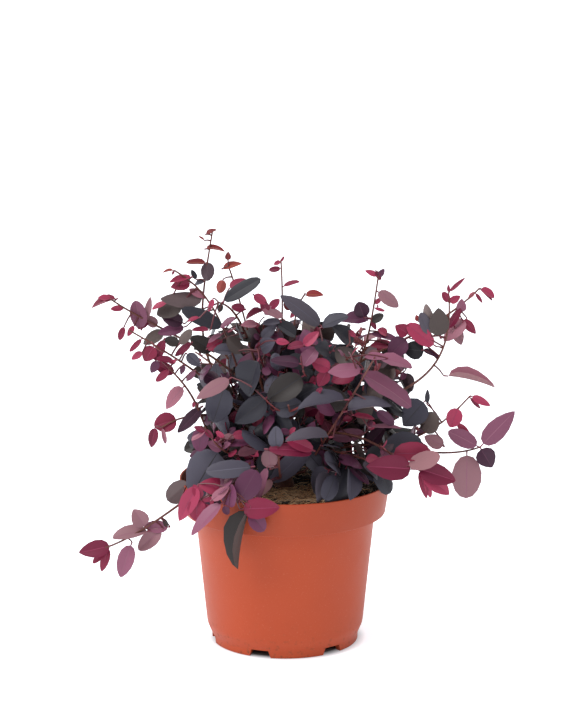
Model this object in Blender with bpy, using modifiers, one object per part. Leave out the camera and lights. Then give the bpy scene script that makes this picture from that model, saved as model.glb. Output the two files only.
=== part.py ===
"""A young purple-leaved fringe flower shrub, built together with its nursery pot.

Metres, +Z up. The origin is on the pot's axis at the level that its foot stands on, and the
side that is seen first faces -Y. Compass angles are in degrees from +X towards +Y.
"""

import math
from typing import NamedTuple

import bmesh
import bpy
import numpy as np
from mathutils import Vector

# Pot, a 19 cm round nursery pot
POT_HEIGHT = 0.150
RIM_RADIUS = 0.095
BAND_HEIGHT = 0.0305
BAND_FOOT_RADIUS = 0.0903
BODY_TOP_RADIUS = 0.081
BODY_FOOT_RADIUS = 0.0705
BODY_FOOT_LEVEL = 0.016
FOOT_RADIUS = 0.066
FOOT_HEIGHT = 0.006
WALL = 0.0018
FLOOR_UNDERSIDE = 0.0035
FLOOR_TOP = 0.006
FOOT_RING_WIDTH = 0.0055
PAD_RADIUS = 0.014
POT_EDGE = 0.0005
TURNED_STEPS = 32

# Drain notches through the foot and the edge of the floor
NOTCHES = 6
FIRST_NOTCH = -110.0
NOTCH_WIDTH = 0.016
NOTCH_FLARE = 0.0025
NOTCH_HEIGHT = 0.0068
NOTCH_INNER_RADIUS = 0.052
NOTCH_OUTER_RADIUS = 0.075

# Potting mix
GAP = 0.0003
SOIL_LEVEL = 0.1410
SOIL_EDGE_LEVEL = 0.1385
SOIL_FLAT_RADIUS = 0.016
SOIL_CHAMFER = 0.004

# Stem foot, from its flat cut at the soil to its fork
STEM_HEIGHT = 0.058
STEM_RADIUS = 0.0062
# Heights above the soil and the radius at each, which flares to the foot
STEM_TAPER = ((0, 0.0095), (0.0025, 0.0083), (0.006, 0.0072), (0.012, STEM_RADIUS), (0.03, 0.0058),
              (STEM_HEIGHT, 0.0052))
STEM_LEAN = 3.0
STEM_SIDES = 10

# Limbs and twigs. A room is the least distance between an axis or a blade and what it passes.
BOUGH_RADIUS = 0.0014
BOUGH_TIP_RADIUS = 0.0010
TWIG_RADIUS = 0.0012
TWIG_TIP_RADIUS = 0.0009
BOUGH_SIDES = 5
TWIG_SIDES = 3
BOUGH_POINTS = 6
TWIG_POINTS = 6
SIDE_TWIG_POINTS = 3
PATH_POINTS = 60
LIMB_CLEARANCE = 0.0004
LIMB_ROOM = 0.0022
TWIG_ROOM = 0.0036
# Side twigs: angle from their stem in degrees, and length as a share of the stem's
TWIG_SPREAD = (38, 62)
TWIG_SHARE = (0.36, 0.5)
TWIG_LIFT = 0.25
FIRST_TWIG_PLACE = 0.3
TWIG_PLACES = 0.55
LIMB_SHIFT = 0.0001
# Turns (degrees) and shifts (millimetres) tried in order for a limb's root on the stem foot
ROOT_SWINGS = (0, 12, -12, 24, -24, 36, -36, 48, -48, 60, -60, 75, -75, 90, -90)
ROOT_SHIFTS = (0, 3, -3, 6, -6, 9, -9, 12, -12, 16, -16, 20, -20)

# Leaves: places along the midrib and half widths, as shares of the length and the width
LEAF_RINGS = ((0.0, 0.0), (0.20, 0.37), (0.62, 0.46), (1.0, 0.0))
LEAF_WIDTH = 0.64
LEAF_KEEL = 0.026
LEAF_KEEL_PLACE = 0.41
LEAF_DROOP = 0.12
LEAF_ROOT_DEPTH = 0.0002
LEAF_STEP = 0.34
CLOSEST_LEAVES = 0.007
WIDEST_LEAVES = 0.016
SMALLEST_LEAF = 0.008
# Angles of a leaf from its twig, in degrees, and how far it hangs
LEAF_SPREAD = (42, 72)
END_LEAF_SPREAD = (8, 25)
LEAF_HANG = (0.05, 0.45)
LEAF_ROLL = 0.5
# A leaf's upper face turns up and away from the pot's axis, with some scatter
FACE_UP = 0.6
FACE_OUT = 0.75
FACE_SCATTER = 0.42
SPACE_MARGIN = 0.0012
LEAF_ROOM = 0.0009
POT_ROOM = 0.0015
LEAF_TRIES = 24
SHRINK_PER_TRY = 0.03
WELD = 0.000002
SEED = 41


class Shoot(NamedTuple):
    """One limb from the stem foot to its tip. Lengths are in millimetres, angles in degrees."""

    name: str
    azimuth: float  # compass angle of the tip
    reach: float  # level distance of the tip from the pot's axis
    height: float  # height of the tip above the pot's foot
    rise: float  # slope at which it leaves the stem
    dip: float  # slope at its tip, negative where it hangs, over 90 where it leans back
    sway: float = 0  # turn of its start away from the tip's compass angle
    bend: float = 0.38  # how far each end's direction is kept, as a share of its length
    bare: float = 0.5  # share of its length that is bare
    bough: bool = True  # whether its bare share is a bough of its own, or part of a slender mass
    leaf: float = 28  # length of its longest leaf
    tip_leaf: float = 0.6  # length of the leaf at its tip, as a share of the longest
    gap: float = 1.0  # spacing of its leaves
    twigs: int = 0  # side twigs


# The shoots that stand out of the crown, as seen from the front: left, top, right, then front
OUTER_SHOOTS = (
    Shoot("left_long", 187, 155, 317, rise=75, dip=35, sway=-35, bare=0.5, leaf=31, tip_leaf=0.8),
    Shoot("left_second", 203, 147, 297, rise=50, dip=32, sway=10, bare=0.5, leaf=28, twigs=1),
    Shoot("left_middle", 211, 118, 264, rise=15, dip=40, sway=-18, bend=0.6, bare=0.55, leaf=30),
    Shoot("left_low", 197, 114, 204, rise=60, dip=-30, bare=0.55, leaf=29, tip_leaf=0.8, bough=False),
    Shoot("left_arching", 183, 98, 340, rise=45, dip=30, bare=0.55, leaf=27, bough=False),
    Shoot("top_spire", 167, 66, 372, rise=40, dip=100, bend=0.5, bare=0.6, leaf=23, gap=1.2),
    Shoot("top_left_red", 214, 70, 318, rise=72, dip=15, sway=-28, bare=0.55, leaf=44, tip_leaf=1),
    Shoot("top_centre", 97, 30, 343, rise=66, dip=60, bare=0.65, leaf=19, gap=1.2, bough=False),
    Shoot("top_right_spire", 3, 83, 333, rise=30, dip=82, bend=0.45, bare=0.55, leaf=31, bough=False),
    Shoot("right_tall", 358, 145, 320, rise=30, dip=95, bend=0.5, bare=0.5, leaf=46, gap=1.3),
    Shoot("right_arching", 8, 176, 318, rise=64, dip=45, bare=0.6, leaf=30, tip_leaf=0.7),
    Shoot("right_middle", 351, 166, 231, rise=20, dip=50, bend=0.5, bare=0.6, leaf=29, bough=False),
    Shoot("right_low", 349, 176, 186, rise=40, dip=25, sway=20, bare=0.5, leaf=42, tip_leaf=1),
    Shoot("front_right_low", 327, 126, 178, rise=58, dip=-35, bare=0.55, leaf=40, tip_leaf=1),
    Shoot("front_right_rising", 306, 97, 278, rise=60, dip=12, sway=30, bare=0.5, leaf=46),
    Shoot("front_hanging", 244, 108, 164, rise=62, dip=-30, bare=0.5, leaf=48, tip_leaf=1),
    Shoot("front_left_trailing", 208, 178, 108, rise=62, dip=-18, sway=22, leaf=36, tip_leaf=1),
)
# Short slender shoots inside the outline
INNER_SHOOTS = (
    Shoot("front_pink", 266, 80, 190, rise=10, dip=60, bend=0.55, leaf=26, bough=False),
    Shoot("front_left_small", 230, 96, 201, rise=20, dip=45, leaf=22, bough=False),
    Shoot("top_left_small", 165, 52, 340, rise=55, dip=70, leaf=22, bough=False),
    Shoot("top_small", 63, 40, 311, rise=62, dip=25, leaf=22, bough=False),
)
# Shoots behind the crown, which follow a rule: compass angle, and tall or low by turns
BACK_SHOOTS = 5
BACK_FIRST = 28.0
BACK_STEP = 31.0


class Ring(NamedTuple):
    """A ring of inner masses round the stem foot, which all follow one rule."""

    name: str
    masses: int
    first: float  # compass angle of the first
    reach: float
    height: float
    rise: float
    dip: float
    leaf: float


RINGS = (
    Ring("low", 6, first=20, reach=80, height=186, rise=46, dip=0, leaf=44),
    Ring("middle", 4, first=2, reach=80, height=238, rise=62, dip=28, leaf=44),
    Ring("high", 3, first=65, reach=50, height=284, rise=72, dip=45, leaf=40),
)
RING_LEAN = 16.0  # how much further the rings reach on the +X side, in millimetres
RING_TWIGS = 5
RING_GAP = 0.9


def direction(azimuth, slope):
    """Unit vector at a compass angle and a slope above the level, both in degrees."""
    a, s = math.radians(azimuth), math.radians(slope)
    return np.array([math.cos(a) * math.cos(s), math.sin(a) * math.cos(s), math.sin(s)])


def unit(vectors):
    return vectors / np.linalg.norm(vectors, axis=-1, keepdims=True)


def cubic(p0, p1, p2, p3, count=PATH_POINTS):
    """Points along the cubic Bezier curve of four control points."""
    t = np.linspace(0, 1, count)[:, None]
    return (1 - t) ** 3 * p0 + 3 * (1 - t) ** 2 * t * p1 + 3 * (1 - t) * t**2 * p2 + t**3 * p3


def distance(points, others):
    """Least distance from each point to any of the others."""
    return np.linalg.norm(points[:, None] - others[None], axis=2).min(axis=1)


def along(path, places):
    """Points at the given shares of a path's length."""
    steps = np.linalg.norm(np.diff(path, axis=0), axis=1)
    reached = np.concatenate([[0], np.cumsum(steps)]) / steps.sum()
    return np.stack([np.interp(places, reached, path[:, i]) for i in range(3)], axis=1)


def length_of(path):
    return np.linalg.norm(np.diff(path, axis=0), axis=1).sum()


def stem_point(height):
    """Axis of the stem foot at a height above the soil, and its radius there."""
    lean = math.tan(math.radians(STEM_LEAN)) * max(height - 0.006, 0)
    radius = np.interp(height, *zip(*STEM_TAPER))
    return np.array([-lean, 0, SOIL_LEVEL + GAP + height]), radius


def shoot_path(shoot, lift, swing):
    """A limb's axis from the skin of the stem foot, at a height and a turn that keep it clear."""
    azimuth = shoot.azimuth + shoot.sway + swing
    axis, radius = stem_point(lift)
    level = direction(azimuth, 0)
    tilt = math.sin(math.radians(min(shoot.rise, 90)))
    root = axis + level * (radius + GAP + LIMB_SHIFT + BOUGH_RADIUS * tilt)
    tip = direction(shoot.azimuth, 0) * shoot.reach / 1000
    tip[2] = shoot.height / 1000
    held = shoot.bend * np.linalg.norm(tip - root)
    leave = root + held * direction(azimuth, shoot.rise)
    arrive = tip - held * direction(shoot.azimuth - shoot.sway, shoot.dip)
    return cubic(root, leave, arrive, tip)


def find_way(shoot, placed):
    """The limb's path at the first root on the stem foot that keeps it clear of the others."""
    wanted = 0.008 + 0.042 * np.clip((shoot.height - 100) / 270, 0, 1)
    for swing in ROOT_SWINGS:
        for shift in ROOT_SHIFTS:
            lift = wanted + shift / 1000
            if not 0.006 <= lift <= STEM_HEIGHT - 0.004:
                continue
            path = shoot_path(shoot, lift, swing)
            if path_is_clear(path, placed):
                return path
    raise ValueError(f"{shoot.name} finds no clear way")


def path_is_clear(path, placed):
    """Whether a limb clears the other limbs, the stem foot, the pot and the soil."""
    if any(distance(path, other).min() < 2 * BOUGH_RADIUS + LIMB_CLEARANCE for other in placed):
        return False
    heights = np.clip(path[8:, 2] - SOIL_LEVEL - GAP, 0, STEM_HEIGHT)
    trunk = np.array([stem_point(height)[0] for height in heights])
    outside = np.linalg.norm(path[8:, :2] - trunk[:, :2], axis=1)
    inside_stem = (path[8:, 2] < SOIL_LEVEL + STEM_HEIGHT + 0.002) & (
        outside < STEM_RADIUS + BOUGH_RADIUS + LIMB_CLEARANCE
    )
    return not inside_stem.any() and clear_of_pot(path, BOUGH_RADIUS + 0.001)


def clear_of_pot(points, room):
    """Whether points keep their room from the soil, the rim and the wall of the pot."""
    radius, height = np.linalg.norm(points[:, :2], axis=1), points[:, 2]
    on_soil = (radius < RIM_RADIUS - WALL) & (height < SOIL_LEVEL + 0.001 + room)
    at_rim = (radius > RIM_RADIUS - WALL - room - 0.001) & (height < POT_HEIGHT + room)
    wall = np.interp(
        height,
        [0, BODY_FOOT_LEVEL, POT_HEIGHT - BAND_HEIGHT - 0.002, POT_HEIGHT - BAND_HEIGHT, POT_HEIGHT],
        [FOOT_RADIUS, BODY_FOOT_RADIUS, BODY_TOP_RADIUS, BAND_FOOT_RADIUS, RIM_RADIUS],
    )
    in_wall = at_rim & (radius < wall + room)
    return not (on_soil | in_wall).any()


def back_shoots():
    """Shoots behind the crown: tall and low by turns, each with its own reach and turn."""
    made = []
    for k in range(BACK_SHOOTS):
        tall = k % 2 == 0
        made.append(
            Shoot(
                f"back_{k + 1}",
                azimuth=BACK_FIRST + BACK_STEP * k,
                reach=(118 if tall else 158) + 9 * math.sin(2.3 * k),
                height=(312 if tall else 236) + 14 * math.sin(1.7 * k + 1),
                rise=66 if tall else 48,
                dip=52 if tall else 8,
                sway=14 * math.sin(3.1 * k),
                bare=0.55,
                leaf=36 if tall else 40,
                twigs=1,
            )
        )
    return made


def ring_shoots():
    """The inner masses, evenly round each ring, with a height that varies a little."""
    made = []
    for ring in RINGS:
        for k in range(ring.masses):
            azimuth = ring.first + 360 / ring.masses * k
            made.append(
                Shoot(
                    f"{ring.name}_{k + 1}",
                    azimuth,
                    reach=ring.reach + RING_LEAN * math.cos(math.radians(azimuth)),
                    height=ring.height + 8 * math.sin(2.0 * k),
                    rise=ring.rise,
                    dip=ring.dip,
                    sway=8,
                    bare=0.35,
                    bough=False,
                    leaf=ring.leaf,
                    tip_leaf=0.9,
                    gap=RING_GAP,
                    twigs=RING_TWIGS,
                )
            )
    return made


class Twig(NamedTuple):
    """A leafy axis: its points, the radius at each end and where its leaves begin."""

    path: np.ndarray
    radii: tuple
    first: float  # share of its length where the leaves begin


class Mass(NamedTuple):
    """A shoot grown out: its bare limb, its leafy twigs and their leaves."""

    shoot: Shoot
    bough: np.ndarray  # points of the bare limb, or none
    twigs: list
    leaves: list


class Leaf(NamedTuple):
    """A blade by its foot, its direction there, the way its upper face looks, and its length."""

    root: np.ndarray
    axis: np.ndarray
    normal: np.ndarray
    length: float


def side_twig(shoot, stem, place, turn, rng):
    """A twig that leaves its stem to one side and curves up: length falls towards the tip."""
    root, ahead = along(stem, [place, min(place + 0.05, 1)])
    tangent = unit(ahead - root)
    side = np.cross(tangent, direction(shoot.azimuth + 90, 0) * turn)
    side = unit(np.cross(side, tangent))
    spread = math.radians(rng.uniform(*TWIG_SPREAD))
    roll = rng.normal(0, 0.35)
    out = side * math.cos(roll) + unit(np.cross(tangent, side)) * math.sin(roll)
    heading = unit(tangent * math.cos(spread) + out * math.sin(spread))
    size = length_of(stem) * rng.uniform(*TWIG_SHARE) * (1.15 - 0.5 * place)
    middle = root + heading * size * 0.5
    tip = root + unit(heading + [0, 0, TWIG_LIFT]) * size
    return cubic(root, middle, middle * 0.3 + tip * 0.7, tip, 24)


def grow_masses():
    """Boughs and twigs of every mass, each clear of those before it."""
    shoots = [*ring_shoots(), *OUTER_SHOOTS, *back_shoots(), *INNER_SHOOTS]
    paths = []
    for shoot in shoots:
        paths.append(find_way(shoot, paths))
    masses = []
    for shoot, path in zip(shoots, paths):
        cut = round(shoot.bare * (PATH_POINTS - 1)) if shoot.bough else 0
        stem = path[cut:].copy()
        if cut:
            stem[0] += unit(stem[1] - stem[0]) * (GAP + LIMB_SHIFT)
        twig = Twig(stem, (TWIG_RADIUS, TWIG_TIP_RADIUS), 0.03 if cut else shoot.bare)
        masses.append(Mass(shoot, path[: cut + 1] if cut else path[:0], [twig], []))
    for index, mass in enumerate(masses):
        grow_twigs(mass, paths[:index] + paths[index + 1 :], np.random.default_rng([SEED, index]))
    return masses


def grow_twigs(mass, others, rng):
    """Side twigs by turns to each side of a mass's stem, skipped where no try is clear."""
    stem = mass.twigs[0].path
    for k in range(mass.shoot.twigs):
        place = FIRST_TWIG_PLACE + TWIG_PLACES * (k + 0.5) / mass.shoot.twigs
        for _ in range(LEAF_TRIES):
            twig = side_twig(mass.shoot, stem, place, (-1) ** k, rng)
            clear = min(distance(twig[1:], other).min() for other in others) > TWIG_ROOM
            apart = all(distance(twig[5:], t.path).min() > TWIG_ROOM for t in mass.twigs)
            if clear and apart and clear_of_pot(twig, TWIG_ROOM):
                mass.twigs.append(Twig(twig, (TWIG_TIP_RADIUS * 1.1, TWIG_TIP_RADIUS), 0.15))
                break


def leaf_midrib(leaf, share):
    """A point of the midrib, which bends down along the leaf by the square of the share."""
    bent = -leaf.normal * LEAF_DROOP * leaf.length * share**2
    return leaf.root + leaf.axis * leaf.length * share + bent


def leaf_points(leaf):
    """Points spread over a leaf's blade, from its foot to its tip."""
    across = np.cross(leaf.normal, leaf.axis)
    width = leaf.length * LEAF_WIDTH
    points = []
    for share in (0.1, 0.25, 0.4, 0.55, 0.7, 0.85, 1.0):
        half = np.interp(share, *zip(*LEAF_RINGS)) * width
        for turn in (-1, -0.5, 0, 0.5, 1):
            points.append(leaf_midrib(leaf, share) + across * turn * half)
    return np.array(points)


def touches(leaf, points, room):
    """Whether any point is within a room of a leaf's blade, in the leaf's own three directions."""
    from_root = points - leaf.root
    ahead = from_root @ leaf.axis
    across = np.abs(from_root @ np.cross(leaf.normal, leaf.axis))
    share = np.clip(ahead / leaf.length, 0, 1)
    blade = -LEAF_DROOP * leaf.length * share**2
    half = np.interp(share, *zip(*LEAF_RINGS)) * leaf.length * LEAF_WIDTH
    near = (ahead > 0.0025) & (ahead < leaf.length + room) & (across < half + room)
    return (near & (np.abs(from_root @ leaf.normal - blade) < room)).any()


def place_leaf(shoot, twig, place, length, turn, attempt, rng):
    """One try at a leaf: sideways from the twig, or ahead at its end, with its upper face out."""
    end = place == 1.0
    root, ahead = along(twig.path, [min(place, 0.97), min(place, 0.97) + 0.03])
    tangent = unit(ahead - root)
    if end:
        root = twig.path[-1] - tangent * TWIG_TIP_RADIUS * 0.7
    flat = direction(shoot.azimuth + 90, 0) * turn
    side = unit(flat - tangent * (flat @ tangent))
    roll = rng.normal(0, LEAF_ROLL * (1 + attempt / 4))
    side = side * math.cos(roll) + np.cross(tangent, side) * math.sin(roll)
    spread = math.radians(rng.uniform(*(END_LEAF_SPREAD if end else LEAF_SPREAD)))
    heading = tangent * math.cos(spread) + side * math.sin(spread)
    heading = unit(heading - np.array([0, 0, rng.uniform(*LEAF_HANG)]))
    outward = unit(root * [1, 1, 0] + 1e-9)
    up = np.array([0, 0, FACE_UP]) + FACE_OUT * outward + rng.normal(0, FACE_SCATTER, 3)
    normal = unit(up - heading * (up @ heading))
    return Leaf(root - heading * LEAF_ROOT_DEPTH, heading, normal, length)


def leaf_fits(leaf, spine, others, limbs, trunk, leaves):
    """Whether a leaf keeps to its mass's space and touches no limb, no trunk and no leaf."""
    points = leaf_points(leaf)
    away = distance(points, others) - distance(points, spine)
    if away.min() < SPACE_MARGIN or not clear_of_pot(points, POT_ROOM):
        return False
    if touches(leaf, limbs, LIMB_ROOM) or touches(leaf, trunk, STEM_RADIUS + LEAF_ROOM):
        return False
    return not any(
        touches(leaf, leaf_points(near), LEAF_ROOM) or touches(near, points, LEAF_ROOM)
        for near in leaves
    )


def leaf_places(shoot, twig):
    """Shares of a twig's length that bear a leaf, the last at its very end."""
    size = length_of(twig.path)
    step = np.clip(LEAF_STEP * shoot.leaf / 1000 * shoot.gap, CLOSEST_LEAVES, WIDEST_LEAVES)
    return [*(np.arange(twig.first * size + 0.002, size - 0.3 * step, step) / size), 1.0]


def fine_path(path):
    """The same path with a point at about each millimetre."""
    return along(path, np.linspace(0, 1, int(length_of(path) * 1000) + 2))


def grow_leaves(masses):
    """Leaves by turns to each side of every twig, each in its mass's space and touching nothing.

    A point belongs to the mass whose twigs are nearest. A leaf is tried at several angles and
    sizes, and skipped where none fits.
    """
    spines = [np.concatenate([twig.path[::2] for twig in mass.twigs]) for mass in masses]
    boughs = [fine_path(mass.bough) for mass in masses if len(mass.bough)]
    trunk = np.array([stem_point(height)[0] for height in np.linspace(0, STEM_HEIGHT, 30)])
    for index, mass in enumerate(masses):
        rng = np.random.default_rng([SEED, 1000 + index])
        shoot = mass.shoot
        others = np.concatenate([spine for k, spine in enumerate(spines) if k != index])
        twigs = [fine_path(twig.path) for twig in mass.twigs]
        for number, twig in enumerate(mass.twigs):
            turn = 1 if rng.random() < 0.5 else -1
            limbs = np.concatenate(boughs + twigs[:number] + twigs[number + 1 :])
            for place in leaf_places(shoot, twig):
                turn = -turn
                fall = 1 - (1 - shoot.tip_leaf) * np.clip((place - 0.35) / 0.65, 0, 1)
                length = shoot.leaf / 1000 * fall * rng.uniform(0.86, 1.05)
                for attempt in range(LEAF_TRIES):
                    shrunk = max(length * (1 - SHRINK_PER_TRY * attempt), SMALLEST_LEAF)
                    leaf = place_leaf(shoot, twig, place, shrunk, turn, attempt, rng)
                    if leaf_fits(leaf, spines[index], others, limbs, trunk, mass.leaves):
                        mass.leaves.append(leaf)
                        break


def material(name, colour, roughness):
    """A Principled material of one colour."""
    made = bpy.data.materials.new(name)
    made.use_nodes = True
    shader = made.node_tree.nodes["Principled BSDF"]
    shader.inputs["Base Color"].default_value = (*colour, 1)
    shader.inputs["Roughness"].default_value = roughness
    return made


def add_object(name, data, collection):
    made = bpy.data.objects.new(name, data)
    collection.objects.link(made)
    return made


def turned(name, profile, collection):
    """A solid of revolution: the profile of radius and height is swept round the Z axis."""
    mesh = bpy.data.meshes.new(name)
    points = [(radius, 0, height) for radius, height in profile]
    mesh.from_pydata(points, [(k, k + 1) for k in range(len(points) - 1)], [])
    made = add_object(name, mesh, collection)
    screw = made.modifiers.new("turn", "SCREW")
    screw.steps = screw.render_steps = TURNED_STEPS
    screw.use_merge_vertices = True
    screw.merge_threshold = 0.00001
    return made


def ring_profile(sides, collection):
    """A regular outline of unit radius, which a limb's curve carries along it."""
    curve = bpy.data.curves.new(f"outline_{sides}", "CURVE")
    spline = curve.splines.new("POLY")
    spline.points.add(sides - 1)
    spline.use_cyclic_u = True
    for k, point in enumerate(spline.points):
        turn = -2 * math.pi * k / sides
        point.co = (math.cos(turn), math.sin(turn), 0, 1)
    made = add_object(curve.name, curve, collection)
    made.hide_render = True
    made.display_type = "WIRE"
    return made


def face_outward(cage):
    """Turns the faces of a closed body outward."""
    bmesh.ops.recalc_face_normals(cage, faces=cage.faces)
    if cage.calc_volume(signed=True) < 0:
        bmesh.ops.reverse_faces(cage, faces=cage.faces)


def limb_mesh(name, points, radii, outline):
    """A tapering limb with closed ends, as a mesh made from a curve."""
    curve = bpy.data.curves.new(name, "CURVE")
    curve.dimensions = "3D"
    curve.bevel_mode = "OBJECT"
    curve.bevel_object = outline
    curve.use_fill_caps = True
    spline = curve.splines.new("POLY")
    spline.points.add(len(points) - 1)
    for point, place, radius in zip(spline.points, points, radii):
        point.co = (*place, 1)
        point.radius = radius
    guide = add_object(name, curve, bpy.context.scene.collection)
    graph = bpy.context.evaluated_depsgraph_get()
    mesh = bpy.data.meshes.new_from_object(guide.evaluated_get(graph))
    bpy.data.objects.remove(guide)
    bpy.data.curves.remove(curve)
    cage = bmesh.new()
    cage.from_mesh(mesh)
    bmesh.ops.remove_doubles(cage, verts=cage.verts, dist=0.000001)
    face_outward(cage)
    cage.to_mesh(mesh)
    cage.free()
    return mesh


def seat_root(mesh, root, radius):
    """Moves a limb's first ring level towards the stem foot, until it is just clear of it."""
    axis, _ = stem_point(root[2] - SOIL_LEVEL - GAP)
    outward = Vector(unit((root - axis) * [1, 1, 0]))
    ring = [vertex for vertex in mesh.vertices if (vertex.co - Vector(root)).length < 1.1 * radius]
    clear = []
    for vertex in ring:
        centre, skin = stem_point(vertex.co.z - SOIL_LEVEL - GAP)
        clear.append((vertex.co - Vector(centre)).length - skin)
    for vertex in ring:
        vertex.co -= outward * (min(clear) - GAP)


def leaf_mesh(leaf):
    """A thin leaf: a sphere of three segments, flat above to the leaf's widths, with a keel."""
    cage = bmesh.new()
    bmesh.ops.create_uvsphere(cage, u_segments=3, v_segments=3, radius=1)
    across = np.cross(leaf.normal, leaf.axis)
    for vertex in cage.verts:
        share, half = LEAF_RINGS[round((1 + vertex.co.z) * 1.5)]
        side = across * np.sign(round(vertex.co.x, 3)) * half * leaf.length * LEAF_WIDTH
        keel = half > 0 and vertex.co.y > 0
        point = leaf_midrib(leaf, LEAF_KEEL_PLACE if keel else share) + side
        vertex.co = Vector(point - leaf.normal * keel * LEAF_KEEL * leaf.length)
    bmesh.ops.remove_doubles(cage, verts=cage.verts, dist=0.000001)
    mesh = bpy.data.meshes.new("leaf")
    face_outward(cage)
    cage.to_mesh(mesh)
    cage.free()
    return mesh


def clean_body(mesh, weld):
    """Keeps a mesh's largest body, so sealed hollows are filled and loose scraps dropped.

    Points closer than the weld are joined first. Returns whether the body is closed, with two
    faces at each edge.
    """
    cage = bmesh.new()
    cage.from_mesh(mesh)
    bmesh.ops.triangulate(cage, faces=cage.faces)
    if weld:
        bmesh.ops.remove_doubles(cage, verts=cage.verts, dist=weld)
        bmesh.ops.dissolve_degenerate(cage, edges=cage.edges, dist=weld)
        bmesh.ops.triangulate(cage, faces=cage.faces)
    left = set(cage.faces)
    bodies = []
    while left:
        body, edge = set(), [left.pop()]
        while edge:
            face = edge.pop()
            body.add(face)
            near = {other for e in face.edges for other in e.link_faces} & left
            left -= near
            edge.extend(near)
        volume = sum(f.verts[0].co.dot(f.verts[1].co.cross(f.verts[2].co)) for f in body) / 6
        bodies.append((volume, body))
    bodies.sort(key=lambda item: item[0], reverse=True)
    spare = [face for _, body in bodies[1:] for face in body]
    bmesh.ops.delete(cage, geom=spare, context="FACES")
    closed = all(len(edge.link_faces) == 2 for edge in cage.edges)
    cage.to_mesh(mesh)
    cage.free()
    return closed


def pot_profile():
    """Radius and height round the pot's section, from the floor's middle up the inside, over
    the rim, down the outside and back along the underside."""
    band_foot = POT_HEIGHT - BAND_HEIGHT
    ring_inner = FOOT_RADIUS - FOOT_RING_WIDTH
    return [
        (0, FLOOR_TOP),
        (FOOT_RADIUS - WALL, FLOOR_TOP),
        (BODY_FOOT_RADIUS - WALL, BODY_FOOT_LEVEL),
        (BODY_TOP_RADIUS - WALL, band_foot + WALL),
        (BAND_FOOT_RADIUS - WALL, band_foot + WALL),
        (RIM_RADIUS - WALL, POT_HEIGHT - POT_EDGE),
        (RIM_RADIUS - WALL + POT_EDGE, POT_HEIGHT),
        (RIM_RADIUS - POT_EDGE, POT_HEIGHT),
        (RIM_RADIUS, POT_HEIGHT - POT_EDGE),
        (BAND_FOOT_RADIUS, band_foot + POT_EDGE),
        (BAND_FOOT_RADIUS - POT_EDGE, band_foot),
        (BODY_TOP_RADIUS, band_foot),
        (BODY_FOOT_RADIUS, BODY_FOOT_LEVEL),
        (FOOT_RADIUS, FOOT_HEIGHT),
        (FOOT_RADIUS, POT_EDGE),
        (FOOT_RADIUS - POT_EDGE, 0),
        (ring_inner, 0),
        (ring_inner, FLOOR_UNDERSIDE),
        (PAD_RADIUS, FLOOR_UNDERSIDE),
        (PAD_RADIUS, 0),
        (0, 0),
    ]


def make_pot(parts, cutters):
    """The turned pot, with six drain notches cut through its foot and the edge of its floor."""
    pot = turned("pot", pot_profile(), parts)
    pot.data.materials.append(material("terracotta_plastic", (0.474, 0.089, 0.038), 0.38))
    for k in range(NOTCHES):
        cage = bmesh.new()
        bmesh.ops.create_cube(cage, size=1)
        depth = NOTCH_OUTER_RADIUS - NOTCH_INNER_RADIUS
        for vertex in cage.verts:
            low = vertex.co.z < 0
            wide = NOTCH_WIDTH + (2 * NOTCH_FLARE if low else 0)
            vertex.co.x = NOTCH_INNER_RADIUS + depth * (vertex.co.x + 0.5)
            vertex.co.y = vertex.co.y * wide
            vertex.co.z = -0.001 if low else NOTCH_HEIGHT
        mesh = bpy.data.meshes.new("notch_cutter")
        cage.to_mesh(mesh)
        cage.free()
        cutter = add_object(f"notch_cutter_{k + 1}", mesh, cutters)
        cutter.rotation_euler.z = math.radians(FIRST_NOTCH + 360 / NOTCHES * k)
        cutter.hide_render = True
        cutter.display_type = "WIRE"
        cut = pot.modifiers.new(f"notch_{k + 1}", "BOOLEAN")
        cut.operation = "DIFFERENCE"
        cut.object = cutter
    return pot


def make_potting_mix(parts):
    """The potting mix, which fills the pot and keeps just clear of its wall."""
    room = WALL + GAP
    band_foot = POT_HEIGHT - BAND_HEIGHT + room
    slope = (RIM_RADIUS - BAND_FOOT_RADIUS) / BAND_HEIGHT
    edge = BAND_FOOT_RADIUS + slope * (SOIL_EDGE_LEVEL - band_foot) - room
    profile = [
        (0, SOIL_LEVEL),
        (SOIL_FLAT_RADIUS, SOIL_LEVEL),
        (0.5 * edge, SOIL_LEVEL + 0.0008),
        (0.8 * edge, SOIL_LEVEL - 0.0006),
        (edge, SOIL_EDGE_LEVEL),
        (BAND_FOOT_RADIUS - room, band_foot),
        (BODY_TOP_RADIUS - room, band_foot),
        (BODY_FOOT_RADIUS - room, BODY_FOOT_LEVEL + SOIL_CHAMFER),
        (FOOT_RADIUS - room - SOIL_CHAMFER, FLOOR_TOP + GAP),
        (0, FLOOR_TOP + GAP),
    ]
    mix = turned("potting_mix", profile, parts)
    mix.data.materials.append(material("potting_mix", (0.020, 0.013, 0.009), 0.95))
    return mix


def make_stem_foot(parts, outline, bark):
    """The short stem inside the crown, cut flat at the soil and flared to its foot."""
    placed = [stem_point(height) for height, _ in STEM_TAPER]
    mesh = limb_mesh("stem_foot", [p for p, _ in placed], [r for _, r in placed], outline)
    mesh.materials.append(bark)
    return add_object("stem_foot", mesh, parts)


def make_bough(mass, parts, outline, bark):
    """One bare tapering limb, from the stem foot to where it enters its foliage."""
    points = along(mass.bough, np.linspace(0, 1, BOUGH_POINTS))
    radii = np.linspace(BOUGH_RADIUS, BOUGH_TIP_RADIUS, BOUGH_POINTS)
    name = f"bough_{mass.shoot.name}"
    mesh = limb_mesh(name, points, radii, outline)
    seat_root(mesh, points[0], BOUGH_RADIUS)
    mesh.materials.append(bark)
    return add_object(name, mesh, parts)


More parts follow.
